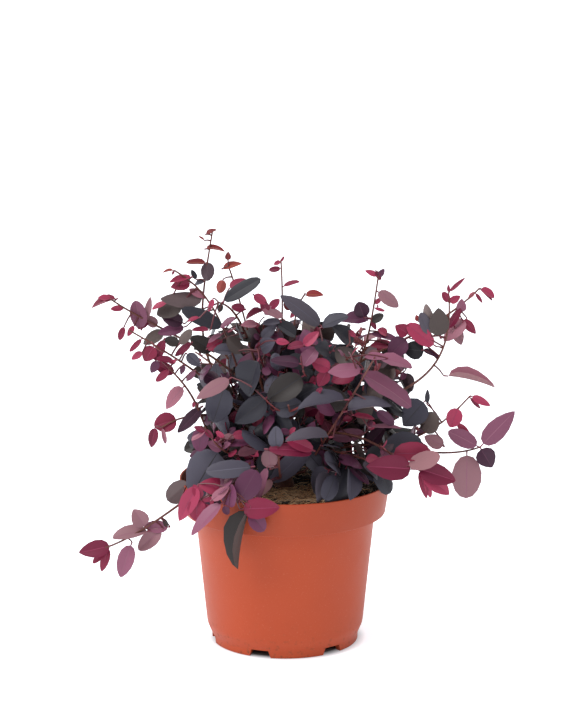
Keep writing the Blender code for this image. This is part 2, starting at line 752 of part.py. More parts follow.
def make_foliage(mass, parts, outline, leaf_skin):
    """Fuses a mass's twigs and leaves into one closed solid."""
    scene = bpy.context.scene.collection
    pieces = bpy.data.collections.new("pieces")
    scene.children.link(pieces)
    name = f"foliage_{mass.shoot.name}"
    for k, twig in enumerate(mass.twigs):
        count = SIDE_TWIG_POINTS if k else TWIG_POINTS
        points = along(twig.path, np.linspace(0, 1, count))
        mesh = limb_mesh(name, points, np.linspace(*twig.radii, count), outline)
        if k == 0 and not mass.shoot.bough:
            seat_root(mesh, points[0], TWIG_RADIUS)
        made = add_object(name if k == 0 else f"twig_{k}", mesh, parts if k == 0 else pieces)
        if k == 0:
            stem = made
    for k, leaf in enumerate(mass.leaves):
        add_object(f"leaf_{k}", leaf_mesh(leaf), pieces)
    join = stem.modifiers.new("join", "BOOLEAN")
    join.operation = "UNION"
    join.operand_type = "COLLECTION"
    join.collection = pieces
    for solver, weld in (("EXACT", WELD), ("MANIFOLD", WELD), ("MANIFOLD", 0), ("EXACT", 0)):
        join.solver = solver
        bpy.context.view_layer.update()
        graph = bpy.context.evaluated_depsgraph_get()
        fused = bpy.data.meshes.new_from_object(stem.evaluated_get(graph))
        if clean_body(fused, weld):
            break
    stem.modifiers.clear()
    stem.data = fused
    for made in list(pieces.objects):
        bpy.data.objects.remove(made)
    bpy.data.collections.remove(pieces)
    fused.materials.clear()
    fused.materials.append(leaf_skin)
    return stem


def main():
    for old in list(bpy.data.objects):
        bpy.data.objects.remove(old)
    parts = bpy.data.collections.new("fringe_flower_shrub")
    cutters = bpy.data.collections.new("cutters")
    for collection in (parts, cutters):
        bpy.context.scene.collection.children.link(collection)
    bark = material("reddish_bark", (0.115, 0.040, 0.026), 0.7)
    leaf_skin = material("purple_leaf", (0.115, 0.030, 0.058), 0.5)
    stem_outline = ring_profile(STEM_SIDES, cutters)
    bough_outline = ring_profile(BOUGH_SIDES, cutters)
    twig_outline = ring_profile(TWIG_SIDES, cutters)
    make_pot(parts, cutters)
    make_potting_mix(parts)
    make_stem_foot(parts, stem_outline, bark)
    masses = grow_masses()
    grow_leaves(masses)
    for mass in masses:
        if len(mass.bough):
            make_bough(mass, parts, bough_outline, bark)
        make_foliage(mass, parts, twig_outline, leaf_skin)
    for made in parts.objects:
        made.data.shade_smooth()
        made.data.set_sharp_from_angle(angle=math.radians(30))


if __name__ == "__main__":
    main()
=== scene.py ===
"""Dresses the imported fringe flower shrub: its pot, potting mix, stems, twigs and leaves.

Metres, +Z up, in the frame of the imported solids. The boughs, twigs and leaves grow by the same
rule and seed as the solids', and go on from there to finer twigs and young leaves. Leaves that
the photo shows one by one have a place of their own.
"""

import math
from typing import NamedTuple

import bmesh
import bpy
import numpy as np
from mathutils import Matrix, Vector

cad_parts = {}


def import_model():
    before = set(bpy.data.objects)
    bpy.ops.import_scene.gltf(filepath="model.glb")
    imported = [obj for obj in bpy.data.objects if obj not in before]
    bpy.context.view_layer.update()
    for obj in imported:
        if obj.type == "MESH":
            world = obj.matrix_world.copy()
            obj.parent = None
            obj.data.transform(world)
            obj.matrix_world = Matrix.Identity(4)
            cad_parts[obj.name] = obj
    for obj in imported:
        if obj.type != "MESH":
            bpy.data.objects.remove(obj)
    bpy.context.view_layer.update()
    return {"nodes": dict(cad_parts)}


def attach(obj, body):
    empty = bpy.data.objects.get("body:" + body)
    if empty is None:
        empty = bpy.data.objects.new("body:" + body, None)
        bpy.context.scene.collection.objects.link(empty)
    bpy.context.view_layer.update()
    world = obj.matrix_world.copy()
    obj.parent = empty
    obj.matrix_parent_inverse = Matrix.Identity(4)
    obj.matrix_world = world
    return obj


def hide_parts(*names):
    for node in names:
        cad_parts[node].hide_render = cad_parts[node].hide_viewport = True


# Pot and potting mix, as in the solids
POT_HEIGHT = 0.150
RIM_RADIUS = 0.095
BAND_HEIGHT = 0.0305
BAND_FOOT_RADIUS = 0.0903
BODY_TOP_RADIUS = 0.081
BODY_FOOT_RADIUS = 0.0705
BODY_FOOT_LEVEL = 0.016
FOOT_RADIUS = 0.066
FOOT_HEIGHT = 0.006
WALL = 0.0018
FLOOR_UNDERSIDE = 0.0035
FLOOR_TOP = 0.006
FOOT_RING_WIDTH = 0.0055
PAD_RADIUS = 0.014
NOTCHES = 6
FIRST_NOTCH = -110.0
NOTCH_WIDTH = 0.016
NOTCH_FLARE = 0.0025
NOTCH_HEIGHT = 0.0068
NOTCH_INNER_RADIUS = 0.052
NOTCH_OUTER_RADIUS = 0.075
GAP = 0.0003
SOIL_LEVEL = 0.1410
SOIL_EDGE_LEVEL = 0.1385

# Stem foot
STEM_HEIGHT = 0.058
STEM_RADIUS = 0.0062
STEM_TAPER = ((0, 0.0095), (0.0025, 0.0083), (0.006, 0.0072), (0.012, STEM_RADIUS), (0.03, 0.0058),
              (STEM_HEIGHT, 0.0052))
STEM_LEAN = 3.0

# Limbs and twigs
BOUGH_RADIUS = 0.0014
BOUGH_TIP_RADIUS = 0.0010
TWIG_RADIUS = 0.0012
TWIG_TIP_RADIUS = 0.0009
PATH_POINTS = 60
LIMB_CLEARANCE = 0.0004
LIMB_ROOM = 0.0022
TWIG_ROOM = 0.0036
TWIG_SPREAD = (38, 62)
TWIG_SHARE = (0.36, 0.5)
TWIG_LIFT = 0.25
FIRST_TWIG_PLACE = 0.3
TWIG_PLACES = 0.55
LIMB_SHIFT = 0.0001
ROOT_SWINGS = (0, 12, -12, 24, -24, 36, -36, 48, -48, 60, -60, 75, -75, 90, -90)
ROOT_SHIFTS = (0, 3, -3, 6, -6, 9, -9, 12, -12, 16, -16, 20, -20)

# Leaves
LEAF_RINGS = ((0.0, 0.0), (0.20, 0.37), (0.62, 0.46), (1.0, 0.0))
LEAF_WIDTH = 0.64
LEAF_DROOP = 0.12
LEAF_ROOT_DEPTH = 0.0002
LEAF_STEP = 0.34
FIRST_LEAF = 0.03  # share of a leafy twig that is bare at its foot
FIRST_TWIG_LEAF = 0.15  # and of a side twig
CLOSEST_LEAVES = 0.007
WIDEST_LEAVES = 0.016
SMALLEST_LEAF = 0.008
LEAF_SPREAD = (42, 72)
END_LEAF_SPREAD = (8, 25)
LEAF_HANG = (0.05, 0.45)
LEAF_ROLL = 0.5
FACE_UP = 0.6
FACE_OUT = 0.75
FACE_SCATTER = 0.42
SPACE_MARGIN = 0.0012
LEAF_ROOM = 0.0009
POT_ROOM = 0.0015
LEAF_TRIES = 24
SHRINK_PER_TRY = 0.03
SEED = 41
# Where the random draws of each growth begin. A mass adds its number.
TWIG_DRAWS, LEAF_DRAWS, SPUR_DRAWS, KEPT_LEAF_DRAWS = 0, 1000, 2000, 3000
LOOK_DRAWS = 9
# Points of a leaf that are tested: shares along it and across it, and the one in its middle
TESTED_ROWS = (0.1, 0.25, 0.4, 0.55, 0.7, 0.85, 1.0)
TESTED_COLUMNS = (-1, -0.5, 0, 0.5, 1)
MIDDLE_POINT = 17


class Shoot(NamedTuple):
    """One limb from the stem foot to its tip. Lengths are in millimetres, angles in degrees."""

    name: str
    azimuth: float  # compass angle of the tip
    reach: float  # level distance of the tip from the pot's axis
    height: float  # height of the tip above the pot's foot
    rise: float  # slope at which it leaves the stem
    dip: float  # slope at its tip, negative where it hangs, over 90 where it leans back
    sway: float = 0  # turn of its start away from the tip's compass angle
    bend: float = 0.38  # how far each end's direction is kept, as a share of its length
    bare: float = 0.5  # share of its length that is bare
    bough: bool = True  # whether its bare share is a bough of its own, or part of a slender mass
    leaf: float = 28  # length of its longest leaf
    tip_leaf: float = 0.6  # length of the leaf at its tip, as a share of the longest
    gap: float = 1.0  # spacing of its leaves
    twigs: int = 0  # side twigs


# The shoots that stand out of the crown, as seen from the front: left, top, right, then front
OUTER_SHOOTS = (
    Shoot("left_long", 187, 155, 317, rise=75, dip=35, sway=-35, bare=0.5, leaf=31, tip_leaf=0.8),
    Shoot("left_second", 203, 147, 297, rise=50, dip=32, sway=10, bare=0.5, leaf=28, twigs=1),
    Shoot("left_middle", 211, 118, 264, rise=15, dip=40, sway=-18, bend=0.6, bare=0.55, leaf=30),
    Shoot("left_low", 197, 114, 204, rise=60, dip=-30, bare=0.55, leaf=29, tip_leaf=0.8, bough=False),
    Shoot("left_arching", 183, 98, 340, rise=45, dip=30, bare=0.55, leaf=27, bough=False),
    Shoot("top_spire", 167, 66, 372, rise=40, dip=100, bend=0.5, bare=0.6, leaf=23, gap=1.2),
    Shoot("top_left_red", 214, 70, 318, rise=72, dip=15, sway=-28, bare=0.55, leaf=44, tip_leaf=1),
    Shoot("top_centre", 97, 30, 343, rise=66, dip=60, bare=0.65, leaf=19, gap=1.2, bough=False),
    Shoot("top_right_spire", 3, 83, 333, rise=30, dip=82, bend=0.45, bare=0.55, leaf=31, bough=False),
    Shoot("right_tall", 358, 145, 320, rise=30, dip=95, bend=0.5, bare=0.5, leaf=46, gap=1.3),
    Shoot("right_arching", 8, 176, 318, rise=64, dip=45, bare=0.6, leaf=30, tip_leaf=0.7),
    Shoot("right_middle", 351, 166, 231, rise=20, dip=50, bend=0.5, bare=0.6, leaf=29, bough=False),
    Shoot("right_low", 349, 176, 186, rise=40, dip=25, sway=20, bare=0.5, leaf=42, tip_leaf=1),
    Shoot("front_right_low", 327, 126, 178, rise=58, dip=-35, bare=0.55, leaf=40, tip_leaf=1),
    Shoot("front_right_rising", 306, 97, 278, rise=60, dip=12, sway=30, bare=0.5, leaf=46),
    Shoot("front_hanging", 244, 108, 164, rise=62, dip=-30, bare=0.5, leaf=48, tip_leaf=1),
    Shoot("front_left_trailing", 208, 178, 108, rise=62, dip=-18, sway=22, leaf=36, tip_leaf=1),
)
# Short slender shoots inside the outline
INNER_SHOOTS = (
    Shoot("front_pink", 266, 80, 190, rise=10, dip=60, bend=0.55, leaf=26, bough=False),
    Shoot("front_left_small", 230, 96, 201, rise=20, dip=45, leaf=22, bough=False),
    Shoot("top_left_small", 165, 52, 340, rise=55, dip=70, leaf=22, bough=False),
    Shoot("top_small", 63, 40, 311, rise=62, dip=25, leaf=22, bough=False),
)
# Shoots behind the crown, which follow a rule: compass angle, and tall or low by turns
BACK_SHOOTS = 5
BACK_FIRST = 28.0
BACK_STEP = 31.0


class Ring(NamedTuple):
    """A ring of inner masses round the stem foot, which all follow one rule."""

    name: str
    masses: int
    first: float  # compass angle of the first
    reach: float
    height: float
    rise: float
    dip: float
    leaf: float


RINGS = (
    Ring("low", 6, first=20, reach=80, height=186, rise=46, dip=0, leaf=44),
    Ring("middle", 4, first=2, reach=80, height=238, rise=62, dip=28, leaf=44),
    Ring("high", 3, first=65, reach=50, height=284, rise=72, dip=45, leaf=40),
)
RING_LEAN = 16.0  # how much further the rings reach on the +X side, in millimetres
RING_TWIGS = 5
RING_GAP = 0.9


def draws(first, index=0):
    """A generator of random numbers that gives the same ones at each run."""
    return np.random.default_rng([SEED, first + index])


def direction(azimuth, slope):
    """Unit vector at a compass angle and a slope above the level, both in degrees."""
    a, s = math.radians(azimuth), math.radians(slope)
    return np.array([math.cos(a) * math.cos(s), math.sin(a) * math.cos(s), math.sin(s)])


def unit(vectors):
    return vectors / np.linalg.norm(vectors, axis=-1, keepdims=True)


def cubic(p0, p1, p2, p3, count=PATH_POINTS):
    """Points along the cubic Bezier curve of four control points."""
    t = np.linspace(0, 1, count)[:, None]
    return (1 - t) ** 3 * p0 + 3 * (1 - t) ** 2 * t * p1 + 3 * (1 - t) * t**2 * p2 + t**3 * p3


def distance(points, others):
    """Least distance from each point to any of the others."""
    return np.linalg.norm(points[:, None] - others[None], axis=2).min(axis=1)


def along(path, places):
    """Points at the given shares of a path's length."""
    steps = np.linalg.norm(np.diff(path, axis=0), axis=1)
    reached = np.concatenate([[0], np.cumsum(steps)]) / steps.sum()
    return np.stack([np.interp(places, reached, path[:, i]) for i in range(3)], axis=1)


def length_of(path):
    return np.linalg.norm(np.diff(path, axis=0), axis=1).sum()


def nearest(points, place):
    """Number of the point that is nearest to a place."""
    return np.argmin(np.linalg.norm(points - place, axis=1))


def evenly(paths, count):
    """Each path again, with the same number of points evenly along it."""
    return np.array([along(path, np.linspace(0, 1, count)) for path in paths])


def stem_point(height):
    """Axis of the stem foot at a height above the soil, and its radius there."""
    lean = math.tan(math.radians(STEM_LEAN)) * max(height - 0.006, 0)
    radius = np.interp(height, *zip(*STEM_TAPER))
    return np.array([-lean, 0, SOIL_LEVEL + GAP + height]), radius


def shoot_path(shoot, lift, swing):
    """A limb's axis from the skin of the stem foot, at a height and a turn that keep it clear."""
    azimuth = shoot.azimuth + shoot.sway + swing
    axis, radius = stem_point(lift)
    level = direction(azimuth, 0)
    tilt = math.sin(math.radians(min(shoot.rise, 90)))
    root = axis + level * (radius + GAP + LIMB_SHIFT + BOUGH_RADIUS * tilt)
    tip = direction(shoot.azimuth, 0) * shoot.reach / 1000
    tip[2] = shoot.height / 1000
    held = shoot.bend * np.linalg.norm(tip - root)
    leave = root + held * direction(azimuth, shoot.rise)
    arrive = tip - held * direction(shoot.azimuth - shoot.sway, shoot.dip)
    return cubic(root, leave, arrive, tip)


def find_way(shoot, placed):
    """The limb's path at the first root on the stem foot that keeps it clear of the others."""
    wanted = 0.008 + 0.042 * np.clip((shoot.height - 100) / 270, 0, 1)
    for swing in ROOT_SWINGS:
        for shift in ROOT_SHIFTS:
            lift = wanted + shift / 1000
            if not 0.006 <= lift <= STEM_HEIGHT - 0.004:
                continue
            path = shoot_path(shoot, lift, swing)
            if path_is_clear(path, placed):
                return path
    raise ValueError(f"{shoot.name} finds no clear way")


def path_is_clear(path, placed):
    """Whether a limb clears the other limbs, the stem foot, the pot and the soil."""
    if any(distance(path, other).min() < 2 * BOUGH_RADIUS + LIMB_CLEARANCE for other in placed):
        return False
    heights = np.clip(path[8:, 2] - SOIL_LEVEL - GAP, 0, STEM_HEIGHT)
    trunk = np.array([stem_point(height)[0] for height in heights])
    outside = np.linalg.norm(path[8:, :2] - trunk[:, :2], axis=1)
    inside_stem = (path[8:, 2] < SOIL_LEVEL + STEM_HEIGHT + 0.002) & (
        outside < STEM_RADIUS + BOUGH_RADIUS + LIMB_CLEARANCE
    )
    return not inside_stem.any() and clear_of_pot(path, BOUGH_RADIUS + 0.001)


def clear_of_pot(points, room):
    """Whether points keep their room from the soil, the rim and the wall of the pot."""
    radius, height = np.linalg.norm(points[:, :2], axis=1), points[:, 2]
    on_soil = (radius < RIM_RADIUS - WALL) & (height < SOIL_LEVEL + 0.001 + room)
    at_rim = (radius > RIM_RADIUS - WALL - room - 0.001) & (height < POT_HEIGHT + room)
    wall = np.interp(
        height,
        [0, BODY_FOOT_LEVEL, POT_HEIGHT - BAND_HEIGHT - 0.002, POT_HEIGHT - BAND_HEIGHT, POT_HEIGHT],
        [FOOT_RADIUS, BODY_FOOT_RADIUS, BODY_TOP_RADIUS, BAND_FOOT_RADIUS, RIM_RADIUS],
    )
    in_wall = at_rim & (radius < wall + room)
    return not (on_soil | in_wall).any()


def back_shoots():
    """Shoots behind the crown: tall and low by turns, each with its own reach and turn."""
    made = []
    for k in range(BACK_SHOOTS):
        reach, height, rise, dip, leaf = (158, 236, 48, 8, 40) if k % 2 else (118, 312, 66, 52, 36)
        reach += 9 * math.sin(2.3 * k)
        height += 14 * math.sin(1.7 * k + 1)
        sway = 14 * math.sin(3.1 * k)
        azimuth = BACK_FIRST + BACK_STEP * k
        made.append(Shoot(f"back_{k + 1}", azimuth, reach, height, rise, dip, sway,
                          bare=0.55, leaf=leaf, twigs=1))
    return made


def ring_shoots():
    """The inner masses, evenly round each ring, with a height that varies a little."""
    made = []
    for ring in RINGS:
        for k in range(ring.masses):
            azimuth = ring.first + 360 / ring.masses * k
            reach = ring.reach + RING_LEAN * math.cos(math.radians(azimuth))
            height = ring.height + 8 * math.sin(2.0 * k)
            made.append(Shoot(f"{ring.name}_{k + 1}", azimuth, reach, height, ring.rise, ring.dip, sway=8,
                              bare=0.35, bough=False, leaf=ring.leaf, tip_leaf=0.9, gap=RING_GAP,
                              twigs=RING_TWIGS))
    return made


class Twig(NamedTuple):
    """A leafy axis: its points, and where its leaves begin."""

    path: np.ndarray
    first: float  # share of its length where the leaves begin


class Mass(NamedTuple):
    """A shoot grown out: its bare limb, its leafy twigs and their leaves."""

    shoot: Shoot
    bough: np.ndarray  # points of the bare limb, or none
    twigs: list
    leaves: list


class Leaf(NamedTuple):
    """A blade by its foot, its direction there, the way its upper face looks, and its length."""

    root: np.ndarray
    axis: np.ndarray
    normal: np.ndarray
    length: float


def side_twig(shoot, stem, place, turn, rng):
    """A twig that leaves its stem to one side and curves up: length falls towards the tip."""
    root, ahead = along(stem, [place, min(place + 0.05, 1)])
    tangent = unit(ahead - root)
    side = np.cross(tangent, direction(shoot.azimuth + 90, 0) * turn)
    side = unit(np.cross(side, tangent))
    spread = math.radians(rng.uniform(*TWIG_SPREAD))
    roll = rng.normal(0, 0.35)
    out = side * math.cos(roll) + unit(np.cross(tangent, side)) * math.sin(roll)
    heading = unit(tangent * math.cos(spread) + out * math.sin(spread))
    size = length_of(stem) * rng.uniform(*TWIG_SHARE) * (1.15 - 0.5 * place)
    middle = root + heading * size * 0.5
    tip = root + unit(heading + [0, 0, TWIG_LIFT]) * size
    return cubic(root, middle, middle * 0.3 + tip * 0.7, tip, 24)


def grow_masses():
    """Boughs and twigs of every mass, each clear of those before it."""
    shoots = [*ring_shoots(), *OUTER_SHOOTS, *back_shoots(), *INNER_SHOOTS]
    paths = []
    for shoot in shoots:
        paths.append(find_way(shoot, paths))
    masses = []
    for shoot, path in zip(shoots, paths):
        cut = round(shoot.bare * (PATH_POINTS - 1)) if shoot.bough else 0
        stem = path[cut:].copy()
        if cut:
            stem[0] += unit(stem[1] - stem[0]) * (GAP + LIMB_SHIFT)
        twig = Twig(stem, FIRST_LEAF if cut else shoot.bare)
        masses.append(Mass(shoot, path[: cut + 1] if cut else path[:0], [twig], []))
    for index, mass in enumerate(masses):
        grow_twigs(mass, paths[:index] + paths[index + 1 :], draws(TWIG_DRAWS, index))
    return masses


def grow_twigs(mass, others, rng):
    """Side twigs by turns to each side of a mass's stem, skipped where no try is clear."""
    stem = mass.twigs[0].path
    for k in range(mass.shoot.twigs):
        place = FIRST_TWIG_PLACE + TWIG_PLACES * (k + 0.5) / mass.shoot.twigs
        for _ in range(LEAF_TRIES):
            twig = side_twig(mass.shoot, stem, place, (-1) ** k, rng)
            clear = min(distance(twig[1:], other).min() for other in others) > TWIG_ROOM
            apart = all(distance(twig[5:], t.path).min() > TWIG_ROOM for t in mass.twigs)
            if clear and apart and clear_of_pot(twig, TWIG_ROOM):
                mass.twigs.append(Twig(twig, FIRST_TWIG_LEAF))
                break


def leaf_points(leaf):
    """Points spread over a leaf's blade, from its foot to its tip."""
    share = np.repeat(TESTED_ROWS, len(TESTED_COLUMNS))[:, None]
    turn = np.tile(TESTED_COLUMNS, len(TESTED_ROWS))[:, None]
    half = np.interp(share, *zip(*LEAF_RINGS)) * leaf.length * LEAF_WIDTH
    middle = leaf.root + leaf.axis * leaf.length * share
    bent = -leaf.normal * LEAF_DROOP * leaf.length * share**2
    return middle + bent + np.cross(leaf.normal, leaf.axis) * turn * half


def touches(leaf, points, room):
    """Whether any point is within a room of a leaf's blade, in the leaf's own three directions."""
    from_root = points - leaf.root
    ahead = from_root @ leaf.axis
    across = np.abs(from_root @ np.cross(leaf.normal, leaf.axis))
    share = np.clip(ahead / leaf.length, 0, 1)
    blade = -LEAF_DROOP * leaf.length * share**2
    half = np.interp(share, *zip(*LEAF_RINGS)) * leaf.length * LEAF_WIDTH
    near = (ahead > 0.0025) & (ahead < leaf.length + room) & (across < half + room)
    return (near & (np.abs(from_root @ leaf.normal - blade) < room)).any()


def place_leaf(shoot, path, place, length, turn, attempt, rng):
    """One try at a leaf: sideways from the twig, or ahead at its end, with its upper face out."""
    end = place == 1.0
    root, ahead = along(path, [min(place, 0.97), min(place, 0.97) + 0.03])
    tangent = unit(ahead - root)
    if end:
        root = path[-1] - tangent * TWIG_TIP_RADIUS * 0.7
    flat = direction(shoot.azimuth + 90, 0) * turn
    side = unit(flat - tangent * (flat @ tangent))
    roll = rng.normal(0, LEAF_ROLL * (1 + attempt / 4))
    side = side * math.cos(roll) + np.cross(tangent, side) * math.sin(roll)
    spread = math.radians(rng.uniform(*(END_LEAF_SPREAD if end else LEAF_SPREAD)))
    heading = tangent * math.cos(spread) + side * math.sin(spread)
    heading = unit(heading - np.array([0, 0, rng.uniform(*LEAF_HANG)]))
    outward = unit(root * [1, 1, 0] + 1e-9)
    up = np.array([0, 0, FACE_UP]) + FACE_OUT * outward + rng.normal(0, FACE_SCATTER, 3)
    normal = unit(up - heading * (up @ heading))
    return Leaf(root - heading * LEAF_ROOT_DEPTH, heading, normal, length)


def leaf_fits(leaf, spine, others, limbs, trunk, leaves):
    """Whether a leaf keeps to its mass's space and touches no limb, no trunk and no leaf."""
    points = leaf_points(leaf)
    away = distance(points, others) - distance(points, spine)
    if away.min() < SPACE_MARGIN or not clear_of_pot(points, POT_ROOM):
        return False
    if touches(leaf, limbs, LIMB_ROOM) or touches(leaf, trunk, STEM_RADIUS + LEAF_ROOM):
        return False
    return not any(
        touches(leaf, leaf_points(near), LEAF_ROOM) or touches(near, points, LEAF_ROOM)
        for near in leaves
    )


def leaf_places(shoot, twig):
    """Shares of a twig's length that bear a leaf, the last at its very end."""
    size = length_of(twig.path)
    step = np.clip(LEAF_STEP * shoot.leaf / 1000 * shoot.gap, CLOSEST_LEAVES, WIDEST_LEAVES)
    return [*(np.arange(twig.first * size + 0.002, size - 0.3 * step, step) / size), 1.0]


def fine_path(path):
    """The same path with a point at about each millimetre."""
    return evenly([path], int(length_of(path) * 1000) + 2)[0]


def grow_leaves(masses):
    """Leaves by turns to each side of every twig, each in its mass's space and touching nothing.

    A point belongs to the mass whose twigs are nearest. A leaf is tried at several angles and
    sizes, and skipped where none fits.
    """
    spines = [np.concatenate([twig.path[::2] for twig in mass.twigs]) for mass in masses]
    boughs = [fine_path(mass.bough) for mass in masses if len(mass.bough)]
    trunk = np.array([stem_point(height)[0] for height in np.linspace(0, STEM_HEIGHT, 30)])
    for index, mass in enumerate(masses):
        rng = draws(LEAF_DRAWS, index)
        shoot = mass.shoot
        others = np.concatenate([spine for k, spine in enumerate(spines) if k != index])
        twigs = [fine_path(twig.path) for twig in mass.twigs]
        for number, twig in enumerate(mass.twigs):
            turn = 1 if rng.random() < 0.5 else -1
            limbs = np.concatenate(boughs + twigs[:number] + twigs[number + 1 :])
            for place in leaf_places(shoot, twig):
                turn = -turn
                fall = 1 - (1 - shoot.tip_leaf) * np.clip((place - 0.35) / 0.65, 0, 1)
                length = shoot.leaf / 1000 * fall * rng.uniform(0.86, 1.05)
                for attempt in range(LEAF_TRIES):
                    shrunk = max(length * (1 - SHRINK_PER_TRY * attempt), SMALLEST_LEAF)
                    leaf = place_leaf(shoot, twig.path, place, shrunk, turn, attempt, rng)
                    if leaf_fits(leaf, spines[index], others, limbs, trunk, mass.leaves):
                        mass.leaves.append(leaf)
                        break


# Spurs: short fine twigs between the leaves, each with young leaves of its own
SPUR_START = 0.006  # how far above its twig's first leaf the first spur springs
SPUR_END = 0.93  # share of its twig's length that bears spurs
SPUR_SPREAD = (32, 62)
SPUR_ROLL = 0.8
SPUR_LIFT = 0.35
SPUR_ROOM = 0.0018
SPUR_TRIES = 6
SPUR_SHRINK_PER_TRY = 0.06
SPUR_LEAF_PLACES = (0.35, 0.6)  # where its first leaf springs, and the share that its leaves span
SPUR_LEAF_ROOM = 0.0006
TIP_LEAF_SIZE = (0.008, 0.015)
TUFT_TURN = 2.4  # from one leaf of a tuft to the next, in radians
TUFT_LEAN = (0.2, 0.8)


class Habit(NamedTuple):
    """How a group of shoots goes on to finer growth, by the beginning of its shoots' names."""

    beginning: str
    foot_age: float  # age of the leaves at the shoot's foot
    tip_age: float  # and at its tip
    rose: float  # share of its middle-aged leaves that are dusty pink
    kept: float  # share of the solids' leaves that it keeps beside those with their own place
    step: float  # spacing of its spurs, in metres
    spur: tuple  # length of a spur
    size: tuple  # length of a spur's leaf, as a share of the shoot's longest
    leaves: tuple  # leaves on a spur, least and one more than most
    tuft: tuple  # small leaves at a tip, counted in the same way
    fresh: float  # how much newer its smallest leaves are


# A habit's fields from step on: in the dome, on the limbs at the back, and on slender shoots
DOME = (0.012, (0.012, 0.030), (0.55, 0.95), (2, 4), (0, 3), 1.25)
LIMB = (0.018, (0.012, 0.026), (0.50, 0.85), (2, 4), (1, 4), 1.0)
SPIRE = (0.024, (0.008, 0.016), (0.45, 0.8), (1, 3), (2, 4), 0.7)
HABITS = (
    Habit("low_", -0.6, 0.2, 0, 1, *DOME),
    Habit("middle_", -0.5, 0.4, 0.1, 1, *DOME),
    Habit("high_", -0.4, 0.7, 0.1, 0.9, *DOME),
    Habit("back_", 0.0, 2.0, 0.3, 0.8, *LIMB),
    Habit("top_left_red", 0.3, 2.3, 0, 0.3, *SPIRE),
    Habit("top_spire", 0.9, 2.9, 0, 0.6, *SPIRE),
    Habit("top_left_small", 0.5, 2.3, 0, 0.7, *SPIRE),
    Habit("top_centre", 0.8, 2.5, 0, 0.7, *SPIRE),
    Habit("left_arching", 0.6, 2.5, 0.2, 0.6, *SPIRE),
    Habit("left_low", 0.8, 2.1, 0.1, 0.8, *SPIRE),
    Habit("left_", 0.5, 2.2, 0.2, 0.8, *SPIRE),
    Habit("right_low", 0.6, 1.9, 0.8, 0.2, *SPIRE),
    Habit("right_tall", 0.5, 1.9, 0.5, 0.5, *SPIRE),
    Habit("right_", 0.6, 2.2, 0.3, 0.8, *SPIRE),
    Habit("front_left_trailing", 1.2, 2.1, 0.6, 0.3, *SPIRE),
    Habit("front_hanging", 1.2, 2.1, 0.5, 0, *SPIRE),
    Habit("front_right_rising", 0.3, 1.6, 0.7, 0.3, *SPIRE),
    Habit("front_right_low", 0.7, 2.1, 0.4, 0.2, *SPIRE),
    Habit("front_pink", 1.2, 2.1, 0.5, 0.5, *SPIRE),
    Habit("", 0.7, 2.1, 0.2, 0.8, *SPIRE),
)
AGE_SCATTER = 0.45
NEWEST_FROM = 2.25  # age at the tip from which a shoot bears the newest kind

# The photo's size in pixels, and the camera that sees the plant as it does
PHOTO_SIZE = (570, 718)
CAMERA_PLACE = (0, -2.608, 0.851)
CAMERA_DIP = 12.8  # degrees below the level
LENS = 150.4
SENSOR = 36.0
FOCUS = LENS / SENSOR * PHOTO_SIZE[1]  # focal length in pixels

# Kinds of leaf, in the order of their looks further on
# The last kind is an old leaf whose lighter blue-grey colour is a painted sky sheen
OLD, PLUM, CRIMSON, NEWEST, ROSE, PAINTED_SHEEN = range(6)
# The ways that an upper face looks
FORWARD = (0, -1, 0.35)
UPWARD = (0, -0.45, 1)
LEFTWARD = (-0.6, -0.8, 0.4)
AWAY = (0, 0.8, -0.5)
CUPPED = (0, -0.25, 1)  # upward, for a leaf folded so far that its near half shows its underside


class Seen(NamedTuple):
    """A leaf that the photo shows, with its foot and tip in the photo's pixels."""

    foot_x: float
    foot_y: float
    tip_x: float
    tip_y: float
    kind: int
    width: float  # share of its length, as it shows
    face: tuple = FORWARD  # the way its upper face looks
    fold: float = 0.5  # how far its halves rise from the midrib, in radians
    lean: float = -0.12  # how much deeper its tip is than its foot, as a share of its length


class SeenTwig(NamedTuple):
    """A twig in front of the dome that the photo shows, in its pixels: its foot, a point that it
    bends towards, and its tip."""

    foot_x: float
    foot_y: float
    bend_x: float
    bend_y: float
    tip_x: float
    tip_y: float
    foot_depth: float  # along Y, in metres
    depth: float  # of the bend and the tip


